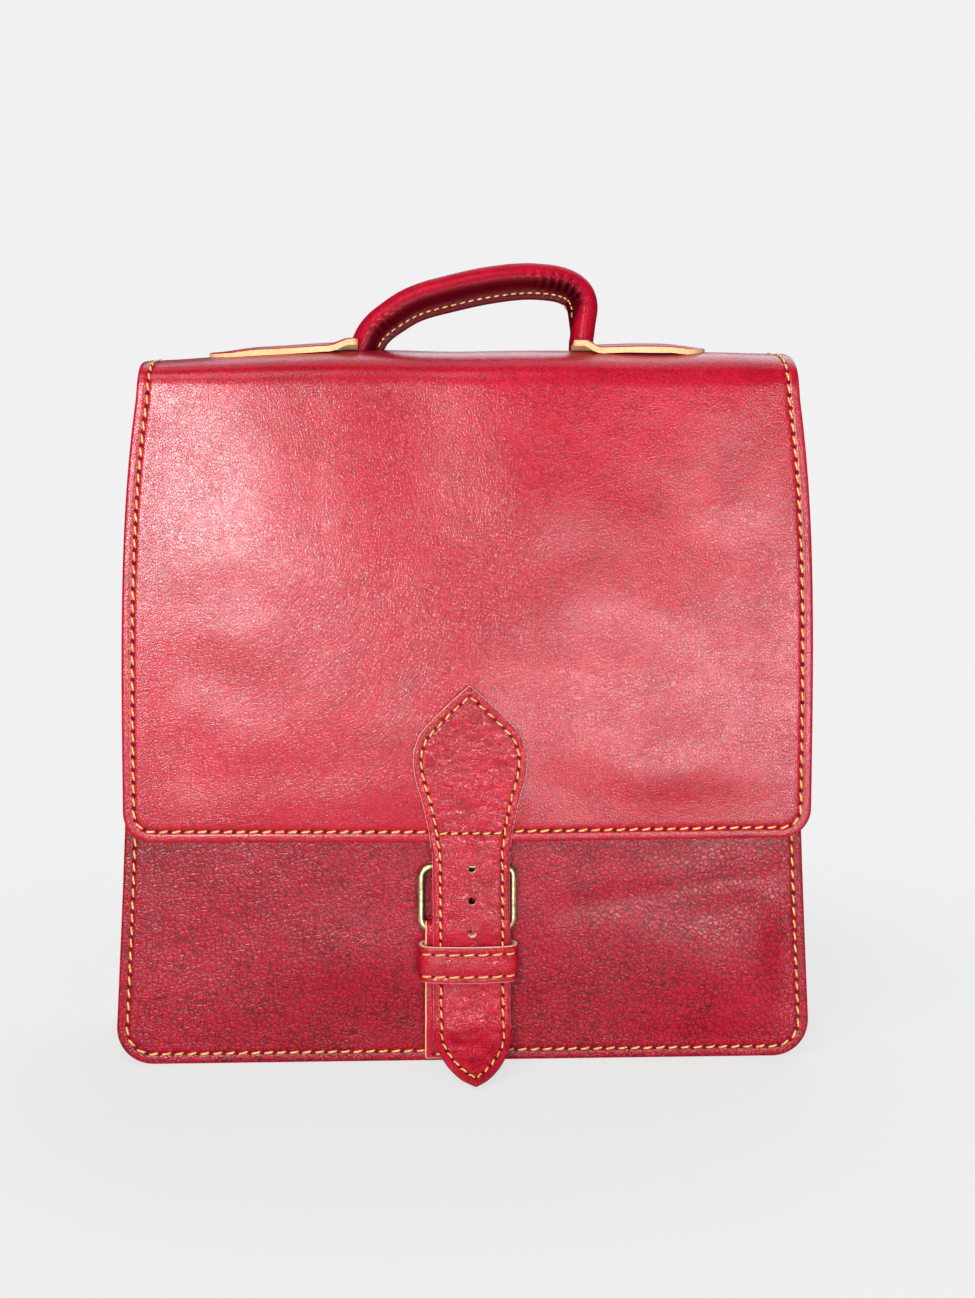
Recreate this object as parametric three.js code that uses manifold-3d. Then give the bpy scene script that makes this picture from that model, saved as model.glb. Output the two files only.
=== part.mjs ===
// A small flap satchel in dyed vegetable-tanned leather: a gusseted body, a stitched flap that folds over
// the top, a rolled handle, and a strap-and-buckle closure with a leather keeper.
// Millimetres, +Z up, -Y is the front, the origin is the middle of the base where the bag stands.
import * as THREE from "three";
import { mergeVertices } from "three/addons/utils/BufferGeometryUtils.js";
import Module from "manifold-3d";

const wasm = await Module();
wasm.setup();

// ---- Driving dimensions ----
const GAP = 0.3; // air left between pieces that touch on the real bag
const BODY_LEATHER = 1.8;
const GUSSET_LEATHER = 1.5;
const FLAP_LEATHER = 1.6;
const LINING = 0.8;
const STRAP_LEATHER = 1.6;
const STRAP_BACKING = 1.2;
const THREAD = 0.45; // radius of the sewing thread

const FRONT_TOP = 256; // top edge of the front panel and of the gusset
const FOLD = 264; // height of the two fold lines, at the back and at the front of the flap's top
const BASE_HALF_DEPTH = 35;
const TOP_HALF_DEPTH = 24;
const BASE_HALF_WIDTH = 137;
const TOP_HALF_WIDTH = 126.5;
const PANEL_CORNER = 15;
const PANEL_BOTTOM = 0.4; // the seam's edge, just clear of the surface that the base stands on
const SEAM = 5; // width of the seam's flange, outside the gusset
const STITCH_INSET = 4; // from a panel's edge to its stitch line

const FLAP_BOTTOM = 89;
const FLAP_HALF_WIDTH = 133.7;
const FLAP_CORNER = 11.5;
const FLAP_TOP_HALF_WIDTH = 125.8;
const FLAP_X = 1.4; // the flap is sewn on a little to the right
const FLAP_STANDOFF = 1.6; // from the front panel to the flap's lining

const STRAP_HALF_WIDTH = 15;
const STRAP_HEAD_TOP = 150.5;
const STRAP_ZONE_FRONT = 34.9; // how far the front panel stands forward behind the buckle
const HOLE_RADIUS = 1.7;
const HOLE_PITCH = 12.7;

const BAR_HEIGHT = 54.8; // the buckle's bottom bar
const BAR_FORWARD = 3.65; // in front of the front panel
const FRAME_HEIGHT = 24.2; // bar to bar
const TOP_BAR_FORWARD = 2.1;
const FRAME_WIDTH = 35.8; // side wire to side wire
const WIRE = 1.5; // radius
const BUCKLE_X = 0.2;

const KEEPER_LOW = 35.3;
const KEEPER_HIGH = 49.4;

// ---- Materials ----
const finish = (color, roughness, metalness = 0) =>
  new THREE.MeshStandardMaterial({ color, roughness, metalness });
const RED = finish(0xb01030, 0.42);
const SUEDE = finish(0xd9a878, 0.9);
const THREAD_TAN = finish(0xdba85c, 0.7);
const BRASS = finish(0x9a8656, 0.35, 1);
const ROPE = finish(0xc9b48c, 0.9);

const bag = new THREE.Group();

function add(name, geometry, material) {
  const mesh = new THREE.Mesh(geometry, material);
  mesh.name = name;
  bag.add(mesh);
}

// ---- Solid helpers ----
// Turns a closed surface right side out, by the sign of the volume that it holds.
function faceOut(geometry) {
  const p = geometry.attributes.position;
  const index = geometry.index.array;
  const [a, b, c] = [new THREE.Vector3(), new THREE.Vector3(), new THREE.Vector3()];
  let volume = 0;
  for (let i = 0; i < index.length; i += 3) {
    a.fromBufferAttribute(p, index[i]);
    b.fromBufferAttribute(p, index[i + 1]);
    c.fromBufferAttribute(p, index[i + 2]);
    volume += a.dot(b.cross(c));
  }
  if (volume < 0) {
    for (let i = 0; i < index.length; i += 3) [index[i], index[i + 1]] = [index[i + 1], index[i]];
  }
  return geometry;
}

// A solid through rings of points, each a closed loop in the order of the flat outline that caps its ends.
// A closed loft joins its last ring to its first and has no caps.
function loft(rings, outline = null) {
  const n = rings[0].length;
  const positions = rings.flat().flatMap((p) => [p.x, p.y, p.z]);
  const index = [];
  const spans = outline ? rings.length - 1 : rings.length;
  for (let i = 0; i < spans; i++) {
    const j = (i + 1) % rings.length;
    for (let k = 0; k < n; k++) {
      const m = (k + 1) % n;
      index.push(i * n + k, i * n + m, j * n + m, i * n + k, j * n + m, j * n + k);
    }
  }
  if (outline) {
    const last = (rings.length - 1) * n;
    for (const [a, b, c] of THREE.ShapeUtils.triangulateShape(outline, [])) {
      index.push(c, b, a, last + a, last + b, last + c);
    }
  }
  // The caps and the sides agree only if the outline runs the same way as the rings.
  const geometry = new THREE.BufferGeometry();
  geometry.setAttribute("position", new THREE.Float32BufferAttribute(positions, 3));
  geometry.setIndex(index);
  return faceOut(geometry);
}

// A strip of leather seen on its end: a line of flat points given a thickness, as a closed outline.
function stripOutline(line, thickness) {
  const side = (sign) =>
    line.map((p, i) => {
      const before = line[Math.max(i - 1, 0)];
      const after = line[Math.min(i + 1, line.length - 1)];
      const along = after.clone().sub(before).normalize();
      const normal = new THREE.Vector2(-along.y, along.x);
      return p.clone().addScaledVector(normal, (sign * thickness) / 2);
    });
  const outline = [...side(1), ...side(-1).reverse()];
  return THREE.ShapeUtils.isClockWise(outline) ? outline.reverse() : outline;
}

// A sheet given as rows of points on its face; back(point) is the matching point on its other face.
function sheet(rows, back) {
  const rings = rows.map((row) => [...row, ...row.map(back).reverse()]);
  const n = rows[0].length;
  const line = Array.from({ length: n }, (_, i) => new THREE.Vector2(i, 0));
  const outline = [...line, ...line.map((p) => new THREE.Vector2(p.x, 1)).reverse()];
  return loft(rings, outline);
}

// A round cord along points.
function cord(points, radius, steps, sides = 5) {
  const section = new THREE.Shape();
  for (let i = 0; i < sides; i++) {
    const turn = (2 * Math.PI * i) / sides;
    const [x, y] = [radius * Math.cos(turn), radius * Math.sin(turn)];
    if (i) section.lineTo(x, y);
    else section.moveTo(x, y);
  }
  section.closePath();
  const extrudePath = new THREE.CatmullRomCurve3(points, false, "centripetal");
  return new THREE.ExtrudeGeometry(section, { steps, extrudePath, bevelEnabled: false });
}

// Joining and cutting.
function toSolid(geometry) {
  const bare = geometry.clone();
  bare.deleteAttribute("normal");
  bare.deleteAttribute("uv");
  const merged = mergeVertices(bare, 1e-4);
  const made = new wasm.Mesh({
    numProp: 3,
    vertProperties: merged.attributes.position.array,
    triVerts: new Uint32Array(merged.index.array),
  });
  return new wasm.Manifold(made);
}

function toGeometry(solid) {
  const made = solid.getMesh();
  const geometry = new THREE.BufferGeometry();
  geometry.setAttribute("position", new THREE.Float32BufferAttribute(made.vertProperties, 3));
  geometry.setIndex(Array.from(made.triVerts));
  return geometry;
}

// A cylinder along X or Y.
function rod(radius, length, centre, axis, sides = 24) {
  const geometry = new THREE.CylinderGeometry(radius, radius, length, sides);
  if (axis === "x") geometry.rotateZ(Math.PI / 2);
  return geometry.translate(...centre);
}

const lerp = THREE.MathUtils.lerp;
const clamp = THREE.MathUtils.clamp;

// ---- The body's shape ----
const halfDepth = (z) =>
  lerp(TOP_HALF_DEPTH, BASE_HALF_DEPTH, Math.pow(clamp(1 - z / FOLD, 0, 1), 1.15));

const halfWidth = (z) =>
  lerp(TOP_HALF_WIDTH, BASE_HALF_WIDTH, Math.pow(clamp(1 - z / FOLD, 0, 1), 1.5));

// How far a filled panel swells between its seams.
const SWELL_EDGE = 7; // no swelling this near a seam
const FRONT_SWELL = 4;
const BACK_SWELL = 3;
function swell(x, z, most) {
  const across = clamp(Math.abs(x) / (halfWidth(z) - SWELL_EDGE), 0, 1);
  const up = clamp((z - SWELL_EDGE) / (FOLD - SWELL_EDGE), 0, 1);
  return most * Math.pow(1 - across * across, 2) * Math.sin(Math.PI * up);
}
const frontY = (x, z) => -(halfDepth(z) + swell(x, z, FRONT_SWELL));
const backY = (x, z) => halfDepth(z) + swell(x, z, BACK_SWELL);

// The rows of a panel with two round bottom corners: [height, half width] from the bottom up.
function outlineRows(bottom, top, radius, widthAt, rise = 8) {
  const rows = [];
  const CORNER_STEPS = 5;
  for (let i = 0; i < CORNER_STEPS; i++) {
    const turn = (Math.PI / 2) * (i / CORNER_STEPS);
    const z = bottom + radius * (1 - Math.cos(turn));
    rows.push([z, widthAt(z) - radius * (1 - Math.sin(turn))]);
  }
  for (let i = 0; i <= rise; i++) {
    const z = lerp(bottom + radius, top, i / rise);
    rows.push([z, widthAt(z)]);
  }
  return rows;
}

const PANEL_COLUMNS = 10;
function panelRows(outline, yAt, middle = 0) {
  return outline.map(([z, half]) =>
    Array.from({ length: PANEL_COLUMNS + 1 }, (_, i) => {
      const x = middle + half * lerp(-1, 1, i / PANEL_COLUMNS);
      return new THREE.Vector3(x, yAt(x, z), z);
    }),
  );
}
const moved = (dy) => (p) => new THREE.Vector3(p.x, p.y + dy, p.z);

const frontOutline = outlineRows(PANEL_BOTTOM, FRONT_TOP, PANEL_CORNER, halfWidth);
const backOutline = outlineRows(PANEL_BOTTOM, FOLD - 0.4, PANEL_CORNER, halfWidth);
add("front_panel", sheet(panelRows(frontOutline, frontY), moved(BODY_LEATHER)), RED);
add("back_panel", sheet(panelRows(backOutline, backY), moved(-BODY_LEATHER)), RED);

// ---- Gusset: one strip round the sides and the base, with its edges turned out as flanges ----
// Its path is the panels' outline, from the left mouth round the base to the right mouth.
const leftSide = frontOutline.map(([z, half]) => new THREE.Vector2(-half, z)).reverse();
const rightSide = frontOutline.map(([z, half]) => new THREE.Vector2(half, z));
const BASE_HALF_LENGTH = 112; // the base is flat and level between these
const baseLine = [-1, 1].map((side) => new THREE.Vector2(side * BASE_HALF_LENGTH, PANEL_BOTTOM));
const seamPath = [...leftSide, ...baseLine, ...rightSide];

// The path's direction out of the bag, in the plane of the panels.
function outward(path, i) {
  const before = path[Math.max(i - 1, 0)];
  const after = path[Math.min(i + 1, path.length - 1)];
  const along = after.clone().sub(before).normalize();
  return new THREE.Vector2(along.y, -along.x);
}

const WEB_POINTS = 9;
const FLANGE_SHORT = 0.6; // the flange ends this far inside the panel's edge
const BASE_FLAT = 0.72; // share of the base's depth that stands flat
const BASE_SAG = SEAM + PANEL_BOTTOM - GUSSET_LEATHER / 2;
const sideFold = (z) => lerp(3, 9, Math.pow(clamp(z / FRONT_TOP, 0, 1), 1.5));

function gussetSection(z, out) {
  const y = halfDepth(z) - BODY_LEATHER - GAP - GUSSET_LEATHER / 2;
  const under = clamp(-out.y, 0, 1); // 1 on the base, 0 on the sides
  const line = [new THREE.Vector2(-y, -FLANGE_SHORT)];
  for (let i = 0; i < WEB_POINTS; i++) {
    const across = lerp(-1, 1, i / (WEB_POINTS - 1));
    const far = Math.abs(across);
    const sag = BASE_SAG * (1 - THREE.MathUtils.smoothstep(far, BASE_FLAT, 1));
    const fold = sideFold(z) * Math.pow(Math.cos((far * Math.PI) / 2), 2);
    line.push(new THREE.Vector2(y * across, -SEAM + lerp(-fold, sag, under * under)));
  }
  line.push(new THREE.Vector2(y, -FLANGE_SHORT));
  return stripOutline(line, GUSSET_LEATHER);
}

function gusset() {
  const rings = seamPath.map((at, i) => {
    const out = outward(seamPath, i);
    const section = gussetSection(at.y, out);
    return section.map((p) => new THREE.Vector3(at.x + out.x * p.y, p.x, at.y + out.y * p.y));
  });
  return loft(rings, gussetSection(FRONT_TOP, new THREE.Vector2(-1, 0)));
}
add("gusset", gusset(), RED);

// The lines of thread that sew the panels to the gusset.
function seamThread(outline, yAt, forward) {
  const top = outline[outline.length - 1][0] - 4;
  const rows = outline.filter(([z]) => z < top);
  const path = [...rows.map(([z, h]) => new THREE.Vector2(-h, z)).reverse()];
  path.push(...rows.map(([z, h]) => new THREE.Vector2(h, z)));
  return path.map((p, i) => {
    const at = p.clone().addScaledVector(outward(path, i), -STITCH_INSET);
    return new THREE.Vector3(at.x, yAt(at.x, at.y) + forward * (GAP + 0.05 + THREAD), at.y);
  });
}
add("front_seam_thread", cord(seamThread(frontOutline, frontY, -1), THREAD, 44), THREAD_TAN);
add("back_seam_thread", cord(seamThread(backOutline, backY, 1), THREAD, 44), THREAD_TAN);

// ---- Inner pocket, sewn flat to the back panel ----
const POCKET_HALF_WIDTH = 75;
const POCKET_BOTTOM = 95;
const POCKET_TOP = 195;
const POCKET_LEATHER = 1.2;
const pocketOutline = outlineRows(POCKET_BOTTOM, POCKET_TOP, 10, () => POCKET_HALF_WIDTH, 3);
const pocketFace = (x, z) => backY(x, z) - BODY_LEATHER - GAP;
add("inner_pocket", sheet(panelRows(pocketOutline, pocketFace), moved(-POCKET_LEATHER)), SUEDE);

// ---- Flap: the part that hangs in front, of leather and lining ----
const flapHalfWidth = (z) =>
  lerp(
    FLAP_HALF_WIDTH,
    FLAP_TOP_HALF_WIDTH,
    Math.pow(clamp((z - FLAP_BOTTOM) / (FOLD - FLAP_BOTTOM), 0, 1), 3.7),
  );
const flapBack = FLAP_STANDOFF + LINING + GAP; // the leather's inner face
const flapFront = flapBack + FLAP_LEATHER;
const flapOutline = outlineRows(FLAP_BOTTOM, FOLD - 0.5, FLAP_CORNER, flapHalfWidth);
const liningFace = (x, z) => frontY(x, z) - FLAP_STANDOFF - LINING;
const flapFace = (x, z) => frontY(x, z) - flapFront;
add("flap_lining", sheet(panelRows(flapOutline, liningFace, FLAP_X), moved(LINING)), SUEDE);
add("flap_panel", sheet(panelRows(flapOutline, flapFace, FLAP_X), moved(FLAP_LEATHER)), RED);

// Thread down each side of the flap and along its edge as far as the strap.
const THREAD_CLEAR_OF_STRAP = 20;
function flapThread(side) {
  const rows = flapOutline.filter(([z]) => z < FOLD - 10);
  const path = rows.map(([z, h]) => new THREE.Vector2(h, z)).reverse();
  path.push(new THREE.Vector2(THREAD_CLEAR_OF_STRAP, FLAP_BOTTOM));
  return path.map((p, i) => {
    const at = p.clone().addScaledVector(outward(path, i), STITCH_INSET);
    const x = FLAP_X + side * at.x;
    return new THREE.Vector3(x, flapFace(x, at.y) - GAP - 0.05 - THREAD, at.y);
  });
}
add("flap_thread_left", cord(flapThread(-1), THREAD, 28), THREAD_TAN);
add("flap_thread_right", cord(flapThread(1), THREAD, 28), THREAD_TAN);

// ---- Flap: the part that bridges the mouth, an arched strip between the two fold lines ----
const BRIDGE_FOOT = FOLD + 0.4;
const BRIDGE_RISE = 11.8;
const BRIDGE_POINTS = 15;
const ARCH = 2.6; // exponent of the arch: 2 is an ellipse, more is squarer
const bridgeBackY = halfDepth(FOLD) - FLAP_LEATHER / 2;
const bridgeFrontY = -halfDepth(FOLD) - flapBack - FLAP_LEATHER / 2;
const bridgeMiddleY = (bridgeBackY + bridgeFrontY) / 2;
const bridgeHalfSpan = (bridgeBackY - bridgeFrontY) / 2;

function bridgeLine(inset) {
  return Array.from({ length: BRIDGE_POINTS }, (_, i) => {
    const turn = (Math.PI * i) / (BRIDGE_POINTS - 1);
    const [c, s] = [Math.cos(turn), Math.sin(turn)];
    const y = bridgeMiddleY + Math.sign(c) * (bridgeHalfSpan - inset) * Math.pow(Math.abs(c), 2 / ARCH);
    const z = BRIDGE_FOOT + (BRIDGE_RISE - inset) * Math.pow(Math.max(s, 0), 2 / ARCH);
    return new THREE.Vector2(y, z);
  });
}

function bridge(inset, thickness) {
  const section = stripOutline(bridgeLine(inset), thickness);
  const stations = [-1, 0, 1].map((t) => FLAP_X + t * FLAP_TOP_HALF_WIDTH);
  const rings = stations.map((x) => section.map((p) => new THREE.Vector3(x, p.x, p.y)));
  return loft(rings, section);
}
add("flap_bridge", bridge(0, FLAP_LEATHER), RED);
add("bridge_lining", bridge((FLAP_LEATHER + LINING) / 2 + GAP, LINING), SUEDE);

// ---- Handle: two flat tabs sewn on the bridge, and a strip rolled round a rope core ----
const BRIDGE_CROWN = BRIDGE_FOOT + BRIDGE_RISE + FLAP_LEATHER / 2;
const TAB_LEATHER = 2.6;
const TAB_HALF_WIDTH = 11;
const TAB_Y = bridgeMiddleY + 2;
const TAB_LOW = BRIDGE_CROWN + GAP;

function tab(inner, outer) {
  const side = Math.sign(outer);
  const bend = Math.abs(outer) - TAB_HALF_WIDTH;
  const shape = new THREE.Shape();
  shape.moveTo(Math.abs(inner), -TAB_HALF_WIDTH * 0.7);
  shape.lineTo(Math.abs(inner) + 12, -TAB_HALF_WIDTH);
  shape.lineTo(bend, -TAB_HALF_WIDTH);
  shape.absarc(bend, 0, TAB_HALF_WIDTH, -Math.PI / 2, Math.PI / 2, false);
  shape.lineTo(Math.abs(inner) + 12, TAB_HALF_WIDTH);
  shape.lineTo(Math.abs(inner), TAB_HALF_WIDTH * 0.7);
  const options = { depth: TAB_LEATHER, bevelEnabled: false, curveSegments: 8 };
  const geometry = new THREE.ExtrudeGeometry(shape, options);
  if (side < 0) geometry.rotateZ(Math.PI);
  return geometry.translate(0, TAB_Y, TAB_LOW);
}
add("handle_tab_left", tab(-31, -95.5), RED);
add("handle_tab_right", tab(39, 94.6), RED);

// The roll's middle line, which leans to the right as the soft handle does.
const HANDLE_FOOT = TAB_LOW + TAB_LEATHER + GAP + 0.1;
const handlePath = new THREE.CatmullRomCurve3(
  [
    [-39.4, HANDLE_FOOT],
    [-36.4, 285.2],
    [-30.6, 290.6],
    [-19.6, 297.4],
    [-4.1, 302],
    [10, 305],
    [24.6, 306.4],
    [37.6, 305],
    [44.8, 301.2],
    [47.6, 295.2],
    [46.8, 287],
    [46, HANDLE_FOOT],
  ].map(([x, z]) => new THREE.Vector3(x, TAB_Y, z)),
);
const HANDLE_STATIONS = 20;
const ROLL_RADIUS = 4.7;
const HANDLE_LEATHER = 1.5;
const FLANGE_LAYER = HANDLE_LEATHER / 2 + 0.2; // each layer's distance from the handle's middle plane

// The stitched flange under the roll, widest over the hand and nearly gone at the right foot.
const flangeAt = (t) =>
  (3.9 + 1.4 * Math.sin(Math.PI * clamp(t / 0.9, 0, 1))) * (1 - 0.75 * THREE.MathUtils.smoothstep(t, 0.66, 0.9));

function handleRing(t, outline) {
  const at = handlePath.getPointAt(t);
  const along = handlePath.getTangentAt(t);
  // At its feet the section lies level, so that it stands on the tabs.
  const level = t === 0 || t === 1;
  const out = level
    ? new THREE.Vector3(t === 0 ? -1 : 1, 0, 0)
    : new THREE.Vector3(-along.z, 0, along.x);
  return outline.map((p) => new THREE.Vector3(at.x + out.x * p.y, at.y + p.x, at.z + out.z * p.y));
}

function rollSection(t) {
  const radius = ROLL_RADIUS - HANDLE_LEATHER / 2;
  const meet = Math.asin(FLANGE_LAYER / radius);
  const foot = -ROLL_RADIUS - flangeAt(t);
  const line = [new THREE.Vector2(-FLANGE_LAYER, foot)];
  const ARC_POINTS = 9;
  for (let i = 0; i < ARC_POINTS; i++) {
    const turn = lerp(-Math.PI / 2 - meet, -Math.PI * 2.5 + meet, i / (ARC_POINTS - 1));
    line.push(new THREE.Vector2(radius * Math.cos(turn), radius * Math.sin(turn)));
  }
  line.push(new THREE.Vector2(FLANGE_LAYER, foot));
  return stripOutline(line, HANDLE_LEATHER);
}

const stationsOf = (n) => Array.from({ length: n }, (_, i) => i / (n - 1));
// The feet are rounded about the line that the handle swings on, so that it clears the tabs as it swings.
const SWING_RADIUS = 5;
const SWING_HEIGHT = HANDLE_FOOT + SWING_RADIUS;
function roundFeet(geometry) {
  const high = 60;
  const above = new THREE.BoxGeometry(200, 60, high).translate(0, TAB_Y, SWING_HEIGHT + high / 2);
  const round = rod(SWING_RADIUS, 200, [0, TAB_Y, SWING_HEIGHT], "x");
  return toGeometry(toSolid(geometry).intersect(toSolid(above).add(toSolid(round))));
}

const coverRings = stationsOf(HANDLE_STATIONS).map((t) => handleRing(t, rollSection(t)));
add("handle_cover", roundFeet(loft(coverRings, rollSection(0))), RED);

const CORE_RADIUS = ROLL_RADIUS - HANDLE_LEATHER - GAP;
const coreSection = new THREE.EllipseCurve(0, 0, CORE_RADIUS, CORE_RADIUS).getPoints(10).slice(0, 10);
const coreRings = stationsOf(HANDLE_STATIONS).map((t) => handleRing(t, coreSection));
add("handle_core", roundFeet(loft(coreRings, coreSection)), ROPE);

// Thread along the flange, on its front.
const THREAD_UP_FLANGE = 1.5;
const handleThreadPath = stationsOf(16).map((t) => {
  const along = lerp(0.05, 0.68, t);
  const down = -ROLL_RADIUS - flangeAt(along) + THREAD_UP_FLANGE;
  const forward = -FLANGE_LAYER - HANDLE_LEATHER / 2 - GAP - 0.1 - THREAD;
  return handleRing(along, [new THREE.Vector2(forward, down)])[0];
});
add("handle_thread", cord(handleThreadPath, THREAD, 30), THREAD_TAN);

// ---- Closing strap: sewn to the flap, with a spear head at its top ----
// It runs a little askew, as hand-set straps do.
const STRAP_JOIN = FLAP_BOTTOM - 0.9;
const strapX = (z) => 0.8 + 0.01 * (STRAP_HEAD_TOP - z);
const HEAD_ROWS = [
  [STRAP_JOIN + 0.15, 15.5],
  [96, 16.7],
  [106, 18.8],
  [112, 20.6],
  [118.5, 21.8],
  [124, 21.8],
  [129, 20.4],
  [133, 18.2],
  [142, 9.4],
  [STRAP_HEAD_TOP - 0.9, 1],
];

function headSheet(forward, thickness) {
  const rows = HEAD_ROWS.map(([z, half]) =>
    [-1, 1].map((side) => {
      const y = flapFace(0, z) - forward - thickness;
      return new THREE.Vector3(strapX(z) + side * half, y, z);
    }),
  );
  return sheet(rows, moved(thickness));
}
add("closing_strap_backing", headSheet(GAP, STRAP_BACKING), SUEDE);
add("closing_strap", headSheet(2 * GAP + STRAP_BACKING, STRAP_LEATHER), RED);

const STRAP_STITCH_INSET = 2.6;
const strapFace = (z) => flapFace(0, z) - 2 * GAP - STRAP_BACKING - STRAP_LEATHER;
const headEdge = HEAD_ROWS.map(([z, half]) => new THREE.Vector2(half, z));
const stitchSide = headEdge.slice(0, -1).map((p, i) => {
  return p.clone().addScaledVector(outward(headEdge, i), -STRAP_STITCH_INSET);
});
const strapStitches = [
  ...stitchSide.map((p) => new THREE.Vector2(-p.x, p.y)),
  new THREE.Vector2(0, STRAP_HEAD_TOP - 4),
  ...stitchSide.slice().reverse(),
].map((p) => new THREE.Vector3(strapX(p.y) + p.x, strapFace(p.y) - GAP - 0.05 - THREAD, p.y));
add("strap_thread", cord(strapStitches.slice(1, -1), THREAD, 30), THREAD_TAN);

// ---- Strap tail: over the buckle, under the keeper, and out to the surface the bag stands on ----
// Each point is [height, distance in front of the front panel] of the strap's inner face.
const tailPath = new THREE.CatmullRomCurve3(
  [
    [STRAP_JOIN - 0.15, 4.1],
    [84, 5.8],
    [80, 6.4],
    [68, 6.7],
    [58, 7.5],
    [54.5, 7.3],
    [50.5, 6.4],
    [46, 5.9],
    [38, 5.8],
    [31, 6.4],
    [24, 9.4],
    [16, 14.6],
    [8, 22],
    [1.2, 30.5],
  ].map(([z, forward]) => new THREE.Vector3(0, -STRAP_ZONE_FRONT - forward, z)),
);
const TAIL_STATIONS = 30;
const TAIL_POINT_FROM = 0.75; // the share of the tail's length where its point begins
const tailHalf = (t) =>
  t < TAIL_POINT_FROM
    ? STRAP_HALF_WIDTH
    : lerp(STRAP_HALF_WIDTH, 1.2, Math.pow((t - TAIL_POINT_FROM) / (1 - TAIL_POINT_FROM), 1.7));

function tailSheet(inner, thickness) {
  const rings = stationsOf(TAIL_STATIONS).map((t) => {
    const at = tailPath.getPointAt(t);
    const along = tailPath.getTangentAt(t);
    // Its top end is cut square, to meet the strap on the flap.
    const out = t === 0 ? new THREE.Vector3(0, -1, 0) : new THREE.Vector3(0, along.z, -along.y);
    const corner = (side, lift) =>
      new THREE.Vector3(strapX(at.z) + side * tailHalf(t), at.y, at.z).addScaledVector(out, lift);
    const outer = inner + thickness;
    return [corner(-1, inner), corner(1, inner), corner(1, outer), corner(-1, outer)];
  });
  const flat = [[0, 0], [1, 0], [1, 1], [0, 1]].map(([x, y]) => new THREE.Vector2(x, y));
  let solid = toSolid(loft(rings, flat));
  for (let i = 0; i < 3; i++) {
    const z = BAR_HEIGHT - 0.5 + i * HOLE_PITCH;
    solid = solid.subtract(toSolid(rod(HOLE_RADIUS, 40, [strapX(z), -STRAP_ZONE_FRONT, z], "y", 16)));
  }
  return toGeometry(solid);
}
add("strap_tail_backing", tailSheet(0, STRAP_BACKING), SUEDE);
add("strap_tail", tailSheet(STRAP_BACKING + GAP, STRAP_LEATHER), RED);

// ---- Buckle strap: sewn to the front panel, folded round the buckle's bar ----
const inFront = (forward) => -STRAP_ZONE_FRONT - forward;
const EYE_INNER = WIRE + GAP;
const EYE_OUTER = EYE_INNER + STRAP_LEATHER;
const BUCKLE_STRAP_THICK = 2 * STRAP_LEATHER;
const BUCKLE_STRAP_X = 0.1;
const EYE_HALF_WIDTH = 14.2;
const PRONG_SLOT = 5;
const KEEPER_LEATHER = 1.5;
const STRAP_STANDOFF = BAR_FORWARD - BUCKLE_STRAP_THICK / 2; // room behind it for the keeper

function buckleStrap() {
  const rows = [
    [6.8, GAP + 0.1],
    [12, GAP + 0.1],
    [20, STRAP_STANDOFF],
    [BAR_HEIGHT - 1, STRAP_STANDOFF],
  ].map(([z, forward]) =>
    [-1, 1].map((side) => {
      const y = inFront(forward + BUCKLE_STRAP_THICK);
      return new THREE.Vector3(BUCKLE_STRAP_X + side * 14.8, y, z);
    }),
  );
  const bar = [BUCKLE_X, inFront(BAR_FORWARD), BAR_HEIGHT];
  const slot = new THREE.BoxGeometry(PRONG_SLOT, 20, 2 * (EYE_OUTER + 0.6)).translate(...bar);
  const solid = toSolid(sheet(rows, moved(BUCKLE_STRAP_THICK)))
    .add(toSolid(rod(EYE_OUTER, 2 * EYE_HALF_WIDTH, bar, "x")))
    .subtract(toSolid(rod(EYE_INNER, 60, bar, "x")))
    .subtract(toSolid(slot));
  return toGeometry(solid);
}
add("buckle_strap", buckleStrap(), RED);

// ---- Buckle: a bent wire frame and its prong, both turning on the bottom bar ----
const TOP_CORNER = 5;
const BAR_CORNER = 3.2;
const frameUp = new THREE.Vector3(0, -(TOP_BAR_FORWARD - BAR_FORWARD), FRAME_HEIGHT).normalize();
const frameOut = new THREE.Vector3(0, -frameUp.z, frameUp.y);
const onFrame = (x, up) =>
  new THREE.Vector3(BUCKLE_X + x, inFront(BAR_FORWARD), BAR_HEIGHT).addScaledVector(frameUp, up);

function framePath() {
  const half = FRAME_WIDTH / 2;
  const CORNER_STEPS = 5;
  const corners = [
    [half - BAR_CORNER, BAR_CORNER, BAR_CORNER, -Math.PI / 2],
    [half - TOP_CORNER, FRAME_HEIGHT - TOP_CORNER, TOP_CORNER, 0],
    [-half + TOP_CORNER, FRAME_HEIGHT - TOP_CORNER, TOP_CORNER, Math.PI / 2],
    [-half + BAR_CORNER, BAR_CORNER, BAR_CORNER, Math.PI],
  ];
  return corners.flatMap(([x, up, radius, from]) =>
    Array.from({ length: CORNER_STEPS + 1 }, (_, i) => {
      const turn = from + ((Math.PI / 2) * i) / CORNER_STEPS;
      const out = [Math.cos(turn), Math.sin(turn)];
      return [x + radius * out[0], up + radius * out[1], out];
    }),
  );
}

const WIRE_SIDES = 10;
const frameRings = framePath().map(([x, up, [ox, ou]]) =>
  Array.from({ length: WIRE_SIDES }, (_, i) => {
    const turn = (2 * Math.PI * i) / WIRE_SIDES;
    const away = WIRE * Math.cos(turn);
    return onFrame(x + ox * away, up + ou * away).addScaledVector(frameOut, WIRE * Math.sin(turn));
  }),
);
add("buckle_frame", loft(frameRings), BRASS);

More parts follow.
